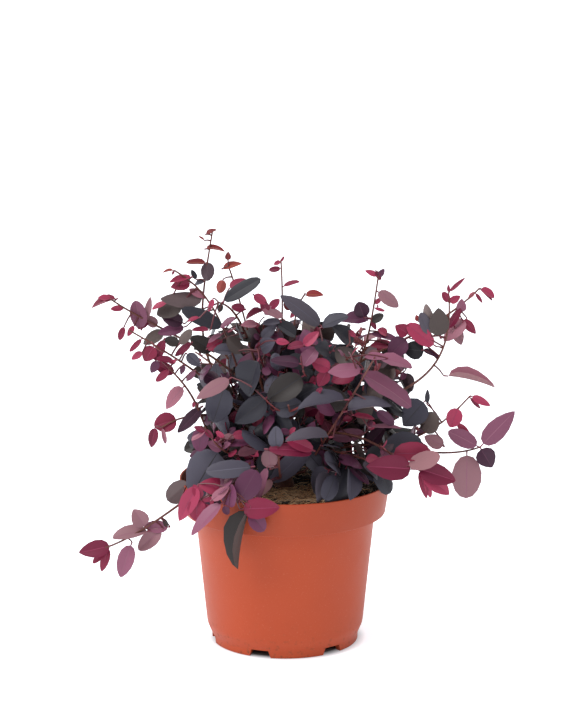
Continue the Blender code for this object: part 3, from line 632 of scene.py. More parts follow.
# Leaves that stand against the sky or in front, by the shoot that bears them
SHOOT_LEAVES = {
    "top_spire": (
        Seen(206, 234, 216, 228.5, NEWEST, 0.4, UPWARD),
        Seen(204, 240, 199, 235.5, NEWEST, 0.3, UPWARD),
        Seen(206, 249, 225, 248.5, NEWEST, 0.37, CUPPED, 1.0),
        Seen(204, 262, 186, 261, NEWEST, 0.32, UPWARD),
        Seen(209, 261, 208, 281, PLUM, 0.68, AWAY),
        Seen(196, 279, 192, 270, OLD, 0.5),
        Seen(206, 281, 194, 284, OLD, 0.5, UPWARD),
    ),
    "top_left_small": (
        Seen(223, 268.5, 241, 262, NEWEST, 0.38, UPWARD),
        Seen(228, 260, 228, 252, NEWEST, 0.7),
        Seen(223, 280, 219, 293, NEWEST, 0.68, AWAY),
    ),
    "top_left_red": (
        Seen(221, 303, 258.5, 277, OLD, 0.3, (-0.3, -0.8, 0.5), 0.35, -0.2),
        Seen(230, 288, 245, 277.5, CRIMSON, 0.5, UPWARD, 0.3, 0.2),
        Seen(213, 299, 209, 312, CRIMSON, 0.38),
        Seen(219, 312, 222, 304, OLD, 0.6),
        Seen(222, 327, 183, 308, OLD, 0.36, (0, -0.9, 0.4), 0.3),
        Seen(245, 309, 231.5, 306, CRIMSON, 0.6),
        Seen(199, 317.5, 187, 320, CRIMSON, 0.32, UPWARD),
        Seen(209, 330, 192, 328.5, CRIMSON, 0.3, UPWARD),
        Seen(233, 319, 220, 327, ROSE, 0.32, UPWARD),
        Seen(222, 334, 207, 341, ROSE, 0.3, UPWARD),
        Seen(207, 349, 222, 340, CRIMSON, 0.5),
        Seen(212, 351, 192, 336, OLD, 0.62),
    ),
    "left_arching": (
        Seen(175, 269.5, 162.5, 272, NEWEST, 0.36, CUPPED, 0.9),
        Seen(174, 270, 172, 275, CRIMSON, 0.5),
        Seen(191, 277, 169, 280, CRIMSON, 0.3, UPWARD),
        Seen(189, 286, 170.5, 287.5, CRIMSON, 0.55),
        Seen(204, 299, 190, 288.5, ROSE, 0.45),
        Seen(205, 299, 160, 303, PLUM, 0.36, AWAY, 0.4),
        Seen(182, 302, 158, 315, OLD, 0.62, AWAY, 0.2, 0.2),
        Seen(184, 302, 176, 311, CRIMSON, 0.5),
        Seen(168, 302, 151.5, 308, CRIMSON, 0.3, UPWARD),
        Seen(183, 323, 162, 315, PLUM, 0.62),
        Seen(184, 327, 158, 334, PLUM, 0.4),
    ),
    "left_long": (
        Seen(116, 299, 91, 306, CRIMSON, 0.4, CUPPED, 0.9),
        Seen(114, 297, 98, 297, CRIMSON, 0.5, UPWARD),
        Seen(126, 306.5, 110.5, 308.5, CRIMSON, 0.45),
        Seen(141, 328, 136.5, 301, ROSE, 0.55),
        Seen(145, 322, 150, 297.5, ROSE, 0.3),
        Seen(158, 328, 144, 316, ROSE, 0.6),
        Seen(148, 324, 137, 328, CRIMSON, 0.5),
        Seen(134, 326, 127, 336, CRIMSON, 0.45),
        Seen(124, 327, 118.5, 340, CRIMSON, 0.45),
        Seen(165, 331, 143, 344, OLD, 0.5, AWAY, 0.2),
    ),
    "left_second": (
        Seen(142, 338.5, 129.5, 352, CRIMSON, 0.3),
        Seen(151, 350, 145, 362, CRIMSON, 0.78),
        Seen(142, 352, 131.5, 360, CRIMSON, 0.5),
        Seen(164, 340, 155, 361, CRIMSON, 0.42),
        Seen(179, 343, 164, 340, OLD, 0.65),
        Seen(179, 344, 192, 329, OLD, 0.45, AWAY),
        Seen(191, 343, 174.5, 356, CRIMSON, 0.33),
        Seen(187, 354, 200, 366, OLD, 0.6),
    ),
    "left_middle": (
        Seen(178, 372, 155, 362, CRIMSON, 0.5),
        Seen(158, 361, 151, 373, PLUM, 0.6),
        Seen(167, 372, 156, 382, CRIMSON, 0.42),
        Seen(174, 362, 157, 357, CRIMSON, 0.36, UPWARD),
        Seen(177, 360, 169, 363, CRIMSON, 0.4),
        Seen(185, 385.5, 164.5, 408, ROSE, 0.46, LEFTWARD),
        Seen(195, 371, 186, 381, ROSE, 0.45),
        Seen(184, 365, 181, 375, PLUM, 0.5),
        Seen(196, 400, 193, 408, CRIMSON, 0.5),
        Seen(201, 408, 177, 433, PLUM, 0.34),
    ),
    "left_low": (
        Seen(178, 418, 154, 426, CRIMSON, 0.8),
        Seen(155, 428, 151, 448, CRIMSON, 0.46),
        Seen(163, 428, 166, 444, ROSE, 0.28),
    ),
    "front_left_small": (
        Seen(205, 431, 191, 440, ROSE, 0.36, UPWARD),
        Seen(205, 431, 194, 427, CRIMSON, 0.5),
        Seen(205, 430, 213, 438, CRIMSON, 0.5),
        Seen(224, 437, 216, 432, CRIMSON, 0.5),
        Seen(234, 438, 223, 436, ROSE, 0.5, UPWARD),
        Seen(233, 435, 246, 435, CRIMSON, 0.66),
        Seen(225, 448, 208, 443, ROSE, 0.62),
        Seen(236, 452, 262, 445, ROSE, 0.36),
        Seen(201, 428, 199, 453, PLUM, 0.6, FORWARD, 0.3, 0.1),
    ),
    "front_left_trailing": (
        Seen(113, 547, 79, 554, CRIMSON, 0.52),
        Seen(111, 549, 92, 563, CRIMSON, 0.32),
        Seen(110, 550, 101.5, 572, CRIMSON, 0.34, FORWARD, 0.5),
        Seen(131, 545, 119, 578, ROSE, 0.45),
        Seen(147, 531, 112, 534, ROSE, 0.36, UPWARD),
        Seen(147, 530, 134, 510, ROSE, 0.8),
        Seen(168, 527, 144, 527, ROSE, 0.5),
        Seen(161, 530, 137, 549, ROSE, 0.5),
        Seen(167, 527, 164, 519, OLD, 0.5),
    ),
    "front_hanging": (
        Seen(221, 504, 188, 533, ROSE, 0.27, (-0.3, -0.6, 0.8), 0.5),
        Seen(243, 509, 279, 508, CRIMSON, 0.56),
        Seen(250, 513, 265, 531, PLUM, 0.66),
        Seen(249, 511, 230, 568, OLD, 0.42, (-0.9, -0.43, 0.1), 1.05, 0.02),
        Seen(224, 506, 228, 515, PLUM, 0.7),
        Seen(212, 500, 229, 487, ROSE, 0.42),
        Seen(240, 500, 255, 470, PLUM, 0.7, FORWARD, 0.2, 0.05),
        Seen(229, 507, 231, 485, PLUM, 0.62, LEFTWARD),
    ),
    "front_pink": (
        Seen(271, 482, 312, 450, PAINTED_SHEEN, 0.34, (0.4, -0.8, -0.3), 0.3),
        Seen(270, 468, 269, 449, ROSE, 0.76, FORWARD, 0.3),
        Seen(268, 449, 311, 447, CRIMSON, 0.28, (0, -0.6, 0.8), 0.3),
        Seen(313, 450, 287, 437, CRIMSON, 0.42),
        Seen(267, 468, 253, 500, ROSE, 0.24, LEFTWARD, 0.3),
        Seen(272, 480, 256, 498, ROSE, 0.38, AWAY),
    ),
    "front_right_rising": (
        Seen(361, 369, 328, 369, ROSE, 0.42, (0, -0.5, 0.9), 0.2),
        Seen(378, 358, 413, 363, ROSE, 0.34, (0, -0.4, 1)),
        Seen(386, 358, 365, 355, ROSE, 0.36, UPWARD),
        Seen(362, 374, 415, 400, ROSE, 0.3, (0.2, -0.5, 0.9), 0.4),
        Seen(318, 407, 301, 413, CRIMSON, 0.75),
        Seen(319, 409, 320, 426, CRIMSON, 0.5, FORWARD, 0.5),
        Seen(331, 436, 325, 421, CRIMSON, 0.85),
        Seen(332, 438, 364, 433, ROSE, 0.38),
        Seen(352, 418, 343, 420, CRIMSON, 0.6),
        Seen(366, 448, 384, 428, PLUM, 0.5, LEFTWARD, 0.5),
    ),
    "top_right_spire": (
        Seen(377, 277, 384, 269, PLUM, 0.6),
        Seen(376, 271, 381, 280, CRIMSON, 0.5),
        Seen(375, 275, 365.5, 270, CRIMSON, 0.42),
        Seen(377, 291, 399.5, 306, ROSE, 0.48),
        Seen(375, 304, 381, 299, CRIMSON, 0.6),
        Seen(376, 308, 385, 311, CRIMSON, 0.3),
        Seen(371, 319, 340, 318, PLUM, 0.44, UPWARD),
        Seen(364, 317, 359, 302, PLUM, 0.9),
        Seen(370, 322, 383, 314, OLD, 0.62),
        Seen(371, 320, 376, 330, CRIMSON, 0.5),
        Seen(370, 334, 402, 338, PLUM, 0.22, UPWARD),
        Seen(387, 335, 378, 329, CRIMSON, 0.7, UPWARD),
        Seen(390, 346, 371, 343, CRIMSON, 0.45, UPWARD),
    ),
    "right_tall": (
        Seen(451, 292, 464.5, 277, CRIMSON, 0.2, FORWARD, 0.6),
        Seen(449, 292, 448.5, 285, CRIMSON, 0.45),
        Seen(447, 303, 443, 292, CRIMSON, 0.6),
        Seen(447, 303, 460, 296, CRIMSON, 0.62),
        Seen(448, 376, 496, 379, ROSE, 0.34, CUPPED, 1.1, 0.0),
        Seen(440, 336, 437, 307, OLD, 0.62, AWAY, 0.15),
        Seen(431, 334, 427, 303, PAINTED_SHEEN, 0.34, AWAY, 0.3, 0.1),
        Seen(429, 334, 421, 313, PAINTED_SHEEN, 0.45),
        Seen(418, 321, 416, 315, NEWEST, 0.7),
        Seen(408, 334, 396, 325, CRIMSON, 0.85),
        Seen(434, 345, 407, 326, CRIMSON, 0.46),
        Seen(406, 339, 388, 356, PLUM, 0.75),
        Seen(424, 351, 402, 349, OLD, 0.8, FORWARD, 0.2, 0.1),
        Seen(423, 350, 439, 356, PLUM, 0.32, UPWARD),
    ),
    "right_arching": (
        Seen(484, 287, 495, 297, CRIMSON, 0.45, UPWARD),
        Seen(482, 292, 494, 299, CRIMSON, 0.2, UPWARD),
        Seen(473, 291, 483, 303, CRIMSON, 0.3),
        Seen(477, 292, 467, 299, CRIMSON, 0.35, UPWARD),
        Seen(461, 312, 462, 299, ROSE, 0.7),
        Seen(449, 328, 460, 309, CRIMSON, 0.34),
        Seen(465, 320, 441, 338, ROSE, 0.5, UPWARD, 0.2),
        Seen(463, 320, 477, 333, CRIMSON, 0.46),
        Seen(455, 328, 462, 345, ROSE, 0.6),
    ),
    "right_middle": (
        Seen(470, 396, 491, 405, CRIMSON, 0.36),
        Seen(470, 397, 480, 409, CRIMSON, 0.25),
        Seen(457, 405, 449, 427, CRIMSON, 0.74),
        Seen(457, 424, 471, 434, CRIMSON, 0.36),
        Seen(424, 436, 437, 413, OLD, 0.78, AWAY, 0.2),
        Seen(443, 446, 425, 436, ROSE, 0.62),
        Seen(412, 445, 423, 443, CRIMSON, 0.8),
        Seen(424, 402, 402, 425, OLD, 0.8, FORWARD, 0.25),
        Seen(427, 403, 428, 390, OLD, 0.35),
    ),
    "right_low": (
        Seen(482, 447, 514, 411, ROSE, 0.42, FORWARD, 0.2, 0),
        Seen(480, 449, 449, 430, ROSE, 0.5, FORWARD, 0.3, 0.1),
        Seen(482, 447, 492, 468, PLUM, 0.85, FORWARD, 0.5),
        Seen(468, 457, 467, 499, ROSE, 0.62, FORWARD, 0.3),
    ),
    "front_right_low": (
        Seen(411, 469, 367, 465, CRIMSON, 0.54),
        Seen(419, 469, 456, 480, CRIMSON, 0.52),
        Seen(424, 472, 449, 496, CRIMSON, 0.48),
        Seen(420, 471, 427, 499, CRIMSON, 0.26, FORWARD, 0.5),
        Seen(424, 475, 432, 498, CRIMSON, 0.26),
        Seen(411, 467, 441, 456, ROSE, 0.5, AWAY, 0.2),
    ),
    "top_centre": (
        Seen(281, 261, 273.5, 264, CRIMSON, 0.6),
        Seen(281, 262, 284, 256, CRIMSON, 0.4),
        Seen(279, 268.5, 269, 270.5, CRIMSON, 0.48),
        Seen(279.5, 287, 298.5, 279.5, CRIMSON, 0.28, UPWARD),
    ),
    "top_small": (
        Seen(304, 295, 323.5, 293.5, NEWEST, 0.42, UPWARD),
        Seen(291, 309, 284, 303, NEWEST, 0.8),
        Seen(300, 312, 290, 318, CRIMSON, 0.5, UPWARD),
        Seen(300, 311, 304, 320, CRIMSON, 0.42),
    ),
}
# Leaves on the face of the crown, each on the twig nearest to it, by their depth in metres
FACE_LEAVES = {
    -0.088: (
        Seen(197, 487, 177, 521, CRIMSON, 0.42),
        Seen(197, 499, 196, 522, CRIMSON, 0.76),
        Seen(201, 498, 194, 485, CRIMSON, 0.62),
        Seen(228, 488, 199, 484, CRIMSON, 0.56, (0, -0.8, 0.6), 0.3),
        Seen(222, 503, 202, 500, PLUM, 0.34),
        Seen(251, 467, 206, 472, PAINTED_SHEEN, 0.38, (0, -0.8, 0.6), 0.3),
        Seen(345, 400, 297, 405, PAINTED_SHEEN, 0.42, CUPPED, 0.7),
        Seen(246, 498, 228, 476, ROSE, 0.7, FORWARD, 0.2),
        Seen(214, 492, 232, 476, ROSE, 0.6, UPWARD),
        Seen(200, 512, 214, 498, CRIMSON, 0.6),
        Seen(347, 411, 390, 400, PAINTED_SHEEN, 0.42, CUPPED, 0.7),
        Seen(329, 437, 285, 438, PAINTED_SHEEN, 0.38, CUPPED, 0.7),
        Seen(377, 411, 395, 424, PLUM, 0.46),
        Seen(354, 415, 375, 418, CRIMSON, 0.25, UPWARD),
        Seen(371, 427, 401, 425, ROSE, 0.2, (0, -0.2, 1)),
    ),
    -0.06: (
        Seen(218, 452, 188, 496, OLD, 0.7, FORWARD, 0.15, -0.3),
        Seen(229, 379, 196, 397, ROSE, 0.34, (0, -0.8, 0.6), 0.2, -0.45),
        Seen(224, 388, 213, 425, OLD, 0.62, FORWARD, 0.3, 0.1),
        Seen(258, 361, 245, 396, OLD, 0.64, LEFTWARD, 0.8),
        Seen(265, 399, 235, 424, OLD, 0.56, (0.3, -1, 0.3), 0.7),
        Seen(305, 376, 268, 400, OLD, 0.6, (-0.2, -1, 0.1), 0.7),
        Seen(304, 345, 287, 346, CRIMSON, 0.45, UPWARD),
        Seen(304, 345, 318, 332, CRIMSON, 0.5, FORWARD, 0.8),
        Seen(276, 341, 289, 343, CRIMSON, 0.5, FORWARD, 0.8),
        Seen(330, 369, 313, 361, CRIMSON, 0.7),
        Seen(327, 371, 319, 387, CRIMSON, 0.7),
        Seen(355, 371, 331, 381, CRIMSON, 0.62),
        Seen(275, 410, 302, 404, OLD, 0.7),
    ),
    -0.03: (
        Seen(188, 483, 167, 500, PLUM, 0.75, AWAY),
        Seen(263, 311, 245, 317, CRIMSON, 0.5, CUPPED, 0.8),
        Seen(267, 312, 262, 299, CRIMSON, 0.6),
        Seen(254, 295, 267, 304, CRIMSON, 0.56),
        Seen(266, 309, 283, 317, ROSE, 0.44),
        Seen(270, 308, 279, 299, CRIMSON, 0.6),
        Seen(272, 313, 262, 305, ROSE, 0.7),
        Seen(322, 327, 346, 313, OLD, 0.42, UPWARD),
        Seen(352, 345, 336, 324, OLD, 0.5, UPWARD),
        Seen(349, 331, 356, 337, CRIMSON, 0.6),
        Seen(296, 336, 276, 322, OLD, 0.5, UPWARD),
        Seen(262, 338, 276, 325, PAINTED_SHEEN, 0.5),
        Seen(243, 352, 226, 338, OLD, 0.6, AWAY),
        Seen(232, 352, 214, 348, OLD, 0.6, UPWARD),
        Seen(257, 325, 241, 324, ROSE, 0.5, UPWARD),
        Seen(280, 322, 262, 323, PAINTED_SHEEN, 0.4, UPWARD),
        Seen(262, 412, 253, 428, CRIMSON, 0.5),
        Seen(236, 411, 230, 425, CRIMSON, 0.5),
    ),
    0.0: (Seen(320, 325, 284, 293, PAINTED_SHEEN, 0.32, (0.3, -0.7, 0.6), 0.3),),
}
SEEN_TWIGS = (SeenTwig(303, 474, 354, 394, 375, 357, -0.025, -0.083),)
LEAST_SHOWN = 0.55  # share of its true width that a seen leaf shows at least
TEST_REACH = 0.01  # from a leaf's middle, where its form is tested
SHORTEST_SPUR = 0.0045  # a seen leaf that is closer to its twig springs from the twig itself
SEEN_SPUR_ARCH = 0.12
COVER = 0.15  # share of a leaf that may stand in front of a seen leaf or limb
LIMB_MARGIN = 3.0  # pixels from a seen limb's middle that are kept clear
SHOWN_LIMBS = ("left_long", "top_left_red", "top_right_spire")
LEAST_INSIDE = 0.75  # share of a leaf that lies in the thick crown


class CrownRow(NamedTuple):
    """The thick crown's edges at one row of the photo's pixels."""

    row: float
    left: float
    right: float


# Where the photo's crown is thick. Elsewhere it is open, and only leaves that the photo shows grow.
THICK_CROWN = (
    CrownRow(320, 246, 300),
    CrownRow(326, 232, 352),
    CrownRow(334, 210, 384),
    CrownRow(340, 195, 396),
    CrownRow(350, 190, 415),
    CrownRow(375, 195, 406),
    CrownRow(400, 196, 424),
    CrownRow(420, 186, 434),
    CrownRow(455, 178, 430),
    CrownRow(470, 180, 405),
    CrownRow(490, 185, 392),
    CrownRow(515, 190, 390),
)

# Blades: shares along the midrib and across, where the narrow middle strip is the midrib itself
BLADE_ROWS = (0, 0.05, 0.19, 0.4, 0.62, 0.82, 0.95, 1)
BLADE_COLUMNS = (-1, -0.53, -0.035, 0.035, 0.53, 1)
BLADE_WIDTH = (0.56, 0.74)
BLADE_THICKNESS = 0.00025
CURLS = (-0.1, 0.65)  # how far the halves bend down again
SEEN_CURL = 0.25
TWIST = 0.6  # most that a blade turns about its midrib, in radians
BLADE_POINT = (0.5, 0.85)  # power that makes the tip pointed
MARGIN_WAVE = (0.0, 0.022)  # height of the margin's waves, as a share of the length
MARGIN_WAVES = 1.6
SIDE_BEND = 0.05  # of the midrib, as a share of the length
BLADE_DROOP = (0.07, 0.17)
STALK_SHARE = 0.09
STALK_RADIUS = 0.0008


class Kind(NamedTuple):
    """A kind of leaf: its name, the colours of its parts, and how far its halves fold up."""

    name: str
    upper: tuple
    under: tuple
    midrib: str
    fold: tuple  # from the midrib, in radians


# From the oldest to the newest, then the dusty pink one that some shoots bear in place of the
# middle ages, and an old one in a lighter blue-grey whose colour is a painted sky sheen
KINDS = (
    Kind("old", ("#17161b", "#1e1d24", "#28272f", "#35333e", "#2a2423", "#474450"),
         ("#463c3a", "#564a47"), "#2d2b30", (0.0, 0.5)),
    Kind("plum", ("#381b2e", "#4b233b", "#5e2d48"), ("#4d3d44", "#57484a"), "#4f2c3f", (0.05, 0.6)),
    Kind("crimson", ("#641531", "#731a36", "#82213e", "#902e4a"), ("#803044", "#8c4a50"),
         "#82304c", (0.15, 0.7)),
    Kind("newest", ("#651c22", "#7a2428", "#84302a"), ("#8a3f3a", "#8f4640"), "#9c5f41", (0.15, 0.7)),
    Kind("rose", ("#704156", "#7f4b60", "#8c5665", "#825b63"), ("#7f555b", "#906469"),
         "#805364", (0.1, 0.6)),
    # Painted sky sheen: old leaves in a lighter blue-grey
    Kind("slate", ("#3c3844", "#47434f", "#4c4650"), ("#6a5a58", "#7a6a68"), "#504d5a", (0.05, 0.45)),
)
LEAF_GLOSS = 0.25
LEAF_ROUGHNESS = 0.45
UNDERSIDE_GLOSS = 0.3
UNDERSIDE_ROUGHNESS = 0.65
PAINTED_SHEEN_SHARE = 0.13  # of the old leaves, which get the painted sky sheen colour in place of their own
ROSE_AGES = (0.9, 2.2)  # between which a leaf may be dusty pink

# Litter on the potting mix, which keeps off the stem and the wall. A patch is a count of bits,
# its centre, and how far it spreads along X and Y.
STEM_EDGE = 0.013
SOIL_RIM = 0.088
FIBRE_ROWS = 9
FIBRE_LENGTH = (0.012, 0.034)
FIBRE_ARCH = (0.0002, 0.0038)
FIBRE_RADIUS = (0.00014, 0.00030)
FIBRE_SHADES = ("#cba077", "#dfbd97", "#a37856")
FIBRE_PATCHES = ((260, (0.014, -0.034), (0.020, 0.015)), (150, (0, 0), (0.055, 0.055)))
GRIT_PATCHES = ((170, (0.068, -0.012), (0.012, 0.016)), (230, (0, 0), (0.055, 0.055)))
GRIT_SHADES = ("#8f8478", "#6f6256", "#a89a88", "#4c4038")
CRUMB_PATCHES = ((520, (0, 0), (0.06, 0.06)),)
CRUMB_SHADES = ("#1c140f", "#33241a", "#4a3626", "#5e4630")


class Bits(NamedTuple):
    """One kind of small bits on the mix."""

    piece: str
    look: str
    patches: tuple
    sizes: tuple
    flatness: float
    shades: tuple
    roughness: float


LITTER = (
    Bits("grit", "grit", GRIT_PATCHES, (0.0004, 0.0011), 0.8, GRIT_SHADES, 0.85),
    Bits("bark_crumbs", "crumb", CRUMB_PATCHES, (0.0008, 0.0026), 0.5, CRUMB_SHADES, 0.95),
)
PEBBLE_PLACE = (0.060, -0.040)
PEBBLE_SIZE = 0.0024

# Facets of the round pieces
POT_TURNS = 192
POT_EDGE_ANGLE = 38
SOIL_TURNS = 240
SOIL_ROWS = 64
STEM_ROWS = 56
STEM_SIDES = 28
BOUGH_ROWS = 44
BOUGH_SIDES = 12

# Studio
SURROUND = 0.78
# The floor glows: painted light that also lights the pot from below and washes out its cast shadow
FLOOR_PAINTED_GLOW = 0.6
FLOOR_REACH = 60
PAINTED_SHADOW_EDGE = (0.058, 0.074)  # how far from the axis the painted shadow under the pot ends and the floor's painted glow begins, and where the glow is full
LAMP_POWER = 2.6
LAMP_SPREAD = 45.0
LAMP_SIDE = (-0.85, -0.4, 1.1)  # the side that the lamp shines from


# Finer growth


class Blade(NamedTuple):
    """A leaf with the kind and the form of its blade."""

    leaf: Leaf
    kind: int
    width: float  # share of its length
    fold: float  # how far its halves rise from the midrib, in radians
    curl: float  # how far its halves bend down again, as a share of the half width
    twist: float  # how far it turns about its midrib, in radians


class Spray(NamedTuple):
    """What the dressed crown is made of: twigs by their thickness, and leaves with their kinds."""

    stems: list
    side_twigs: list
    spurs: list
    leaves: list


def habit_of(shoot):
    return next(habit for habit in HABITS if shoot.name.startswith(habit.beginning))


def leaf_kind(habit, place, length, rng):
    """Kind of a leaf by its age: newer towards the tip of its shoot, and where it is small."""
    age = habit.foot_age + (habit.tip_age - habit.foot_age) * place + rng.normal(0, AGE_SCATTER)
    age += habit.fresh * np.clip((0.022 - length) / 0.01, 0, 1)
    newest = NEWEST if habit.tip_age > NEWEST_FROM else CRIMSON
    if ROSE_AGES[0] < age < ROSE_AGES[1] and rng.random() < habit.rose:
        return ROSE
    kind = int(np.clip(round(age), OLD, newest))
    # Some old leaves get the lighter colour of a painted sky sheen
    return PAINTED_SHEEN if kind == OLD and rng.random() < PAINTED_SHEEN_SHARE else kind


def formed(leaf, kind, rng):
    """A leaf's blade, with a form of its own."""
    width, fold = rng.uniform(*BLADE_WIDTH), rng.uniform(*KINDS[kind].fold)
    return Blade(leaf, kind, width, fold, rng.uniform(*CURLS), rng.uniform(-TWIST, TWIST))


def in_photo(points):
    """Where points appear in the photo, in pixels from its upper left corner."""
    x, y, z = np.moveaxis(np.asarray(points) - CAMERA_PLACE, -1, 0)
    dip = math.radians(CAMERA_DIP)
    ahead = y * math.cos(dip) - z * math.sin(dip)
    above = y * math.sin(dip) + z * math.cos(dip)
    width, height = PHOTO_SIZE
    return np.stack([width / 2 + FOCUS * x / ahead, height / 2 - FOCUS * above / ahead], axis=-1)


def at_depth(x, y, depth):
    """The point that appears at a pixel of the photo, at a depth along Y."""
    dip = math.radians(CAMERA_DIP)
    width, height = PHOTO_SIZE
    across, above = (x - width / 2) / FOCUS, (height / 2 - y) / FOCUS
    way = np.array([across, math.cos(dip) + above * math.sin(dip), above * math.cos(dip) - math.sin(dip)])
    return CAMERA_PLACE + way * ((depth - CAMERA_PLACE[1]) / way[1])


def in_thick_crown(points):
    x, y = np.moveaxis(in_photo(points), -1, 0)
    rows, left, right = zip(*THICK_CROWN)
    return (y > rows[0]) & (x > np.interp(y, rows, left)) & (x < np.interp(y, rows, right))


def placed_leaf(seen, near, depth):
    """The blade of a seen leaf, and the spur that bears it from the nearest point of its twig."""
    foot = at_depth(seen.foot_x, seen.foot_y, depth)
    size = np.linalg.norm(at_depth(seen.tip_x, seen.tip_y, depth) - foot)
    tip = at_depth(seen.tip_x, seen.tip_y, depth + seen.lean * size)
    foot = foot - (tip - foot) * STALK_SHARE
    gap = np.linalg.norm(foot - near)
    spurs = []
    if gap < SHORTEST_SPUR:
        foot = near
    else:
        top = (near + foot) / 2 + [0, 0, SEEN_SPUR_ARCH * gap]
        spurs = [cubic(near, top, top, foot, 8)]
    axis, face = unit(tip - foot), np.array(seen.face, float)
    normal = unit(face - axis * (face @ axis))
    leaf = Leaf(foot, axis, normal, np.linalg.norm(tip - foot))
    width = seen.width / max(LEAST_SHOWN, shown_share(leaf, seen.fold))
    return Blade(leaf, seen.kind, width, seen.fold, SEEN_CURL, 0), spurs


def shown_share(leaf, fold):
    """Share of a folded leaf's width that shows in the photo. Each half reaches out by the cosine
    of the fold across the midrib and by its sine, less the curl, along the leaf's normal."""
    across = np.cross(leaf.normal, leaf.axis) * math.cos(fold) * TEST_REACH
    rise = leaf.normal * (math.sin(fold) - SEEN_CURL) * TEST_REACH
    middle = leaf.root + leaf.axis * leaf.length / 2
    tested = (leaf.root, middle, middle + rise - across, middle + rise + across, middle + [TEST_REACH, 0, 0])
    foot, centre, left, right, aside = in_photo(tested)
    ahead = unit(centre - foot)
    places = [(point - centre) @ [-ahead[1], ahead[0]] for point in (left, centre, right)]
    return np.ptp(places) / (2 * np.linalg.norm(aside - centre))


def whole_limb(mass):
    """A shoot's bough and leafy twig as one path."""
    return np.concatenate([mass.bough, mass.twigs[0].path])


def placed_twigs(masses):
    """The twigs in front of the dome that the photo shows, each from the nearest limb."""
    stems = np.concatenate([whole_limb(mass) for mass in masses])
    placed = []
    for seen in SEEN_TWIGS:
        foot = at_depth(seen.foot_x, seen.foot_y, seen.foot_depth)
        bend = at_depth(seen.bend_x, seen.bend_y, seen.depth)
        tip = at_depth(seen.tip_x, seen.tip_y, seen.depth)
        root = stems[nearest(stems, foot)]
        placed.append(np.concatenate([[root], cubic(foot, bend, bend, tip, 24)]))
    return placed


def placed_leaves(masses, placed):
    """The leaves that the photo shows, and the spurs that bear some of them."""
    shoots = {mass.shoot.name: mass for mass in masses}
    shares = np.linspace(0, 1, 300)
    made = []
    for name, rows in SHOOT_LEAVES.items():
        limb = along(whole_limb(shoots[name]), shares)
        for seen in rows:
            near = limb[nearest(in_photo(limb), [seen.foot_x, seen.foot_y])]
            made.append(placed_leaf(seen, near, near[1]))
    leafy = shares[90:]
    twigs = [along(twig.path, leafy) for mass in masses for twig in mass.twigs]
    twigs = np.concatenate([*twigs, *[along(path, shares) for path in placed]])
    for depth, rows in FACE_LEAVES.items():
        for seen in rows:
            near = twigs[nearest(twigs, at_depth(seen.foot_x, seen.foot_y, depth))]
            made.append(placed_leaf(seen, near, depth))
    return [blade for blade, _ in made], [spur for _, spurs in made for spur in spurs]


class Front:
    """The seen leaves and limbs as the photo shows them, so that others keep out of their way."""

    def __init__(self, blades, paths):
        foot = np.array([blade.leaf.root for blade in blades])
        reach = np.array([blade.leaf.axis * blade.leaf.length for blade in blades])
        start, end = in_photo(foot), in_photo(foot + reach)
        self.middle, half = (start + end) / 2, (end - start) / 2
        self.length = np.linalg.norm(half, axis=1)[:, None]
        self.ahead = half / self.length
        self.width = self.length * np.array([blade.width for blade in blades])[:, None]
        self.depth = (foot + reach / 2)[:, 1, None]
        limbs = np.concatenate([along(path, np.linspace(0.25, 1, 50)) for path in paths])
        self.limbs, self.limb_depth = in_photo(limbs), limbs[:, 1, None]

    def is_hidden_by(self, points):
        """Whether more than a little of a leaf's points stands before a seen limb or leaf."""
        beside = np.linalg.norm(in_photo(points)[None] - self.limbs[:, None], axis=2)
        over = (beside < LIMB_MARGIN) & (points[None, :, 1] < self.limb_depth)
        if over.any(axis=0).mean() > COVER:
            return True
        apart = in_photo(points)[None] - self.middle[:, None]
        ahead = np.einsum("npk,nk->np", apart, self.ahead) / self.length
        across = np.einsum("npk,nk->np", apart, self.ahead[:, ::-1] * [1, -1]) / self.width
        before = (ahead**2 + across**2 < 1) & (points[None, :, 1] < self.depth)
        return (before.mean(axis=1) > COVER).any()


class Crowd:
    """The leaves in place so far, as arrays, so that a new one is tested against all at once."""

    def __init__(self, leaves, front=None):
        self.front = front
        self.frames = np.array([self.frame(leaf) for leaf in leaves])
        self.points = np.array([leaf_points(leaf) for leaf in leaves])
        self.lengths = np.array([leaf.length for leaf in leaves])

    @staticmethod
    def frame(leaf):
        return np.array([leaf.root, leaf.axis, np.cross(leaf.normal, leaf.axis), leaf.normal])

    def add(self, leaves):
        more = Crowd(leaves)
        self.frames = np.concatenate([self.frames, more.frames])
        self.points = np.concatenate([self.points, more.points])
        self.lengths = np.concatenate([self.lengths, more.lengths])

    def has_room(self, leaf):
        """Whether a leaf keeps clear of the soil, the pot, every leaf in place and the open sky,
        and hides no leaf that the photo shows."""
        points = leaf_points(leaf)
        if in_thick_crown(points).mean() < LEAST_INSIDE or not clear_of_pot(points, 0.001):
            return False
        if self.front.is_hidden_by(points):
            return False
        apart = np.linalg.norm(self.points[:, MIDDLE_POINT] - points[MIDDLE_POINT], axis=1)
        close = apart < 0.5 * (leaf.length + self.lengths) + 0.003
        if not close.any():
            return True
        if touches(leaf, self.points[close].reshape(-1, 3), SPUR_LEAF_ROOM):
            return False
        frames, length = self.frames[close], self.lengths[close][:, None]
        from_root = points[None] - frames[:, :1]
        ahead, across, depth = (np.einsum("mpk,mk->mp", from_root, frames[:, k]) for k in (1, 2, 3))
        share = np.clip(ahead / length, 0, 1)
        half = np.interp(share, *zip(*LEAF_RINGS)) * length * LEAF_WIDTH
        near = (ahead > 0.0025) & (ahead < length) & (np.abs(across) < half)
        return not (near & (np.abs(depth + LEAF_DROOP * length * share**2) < SPUR_LEAF_ROOM)).any()


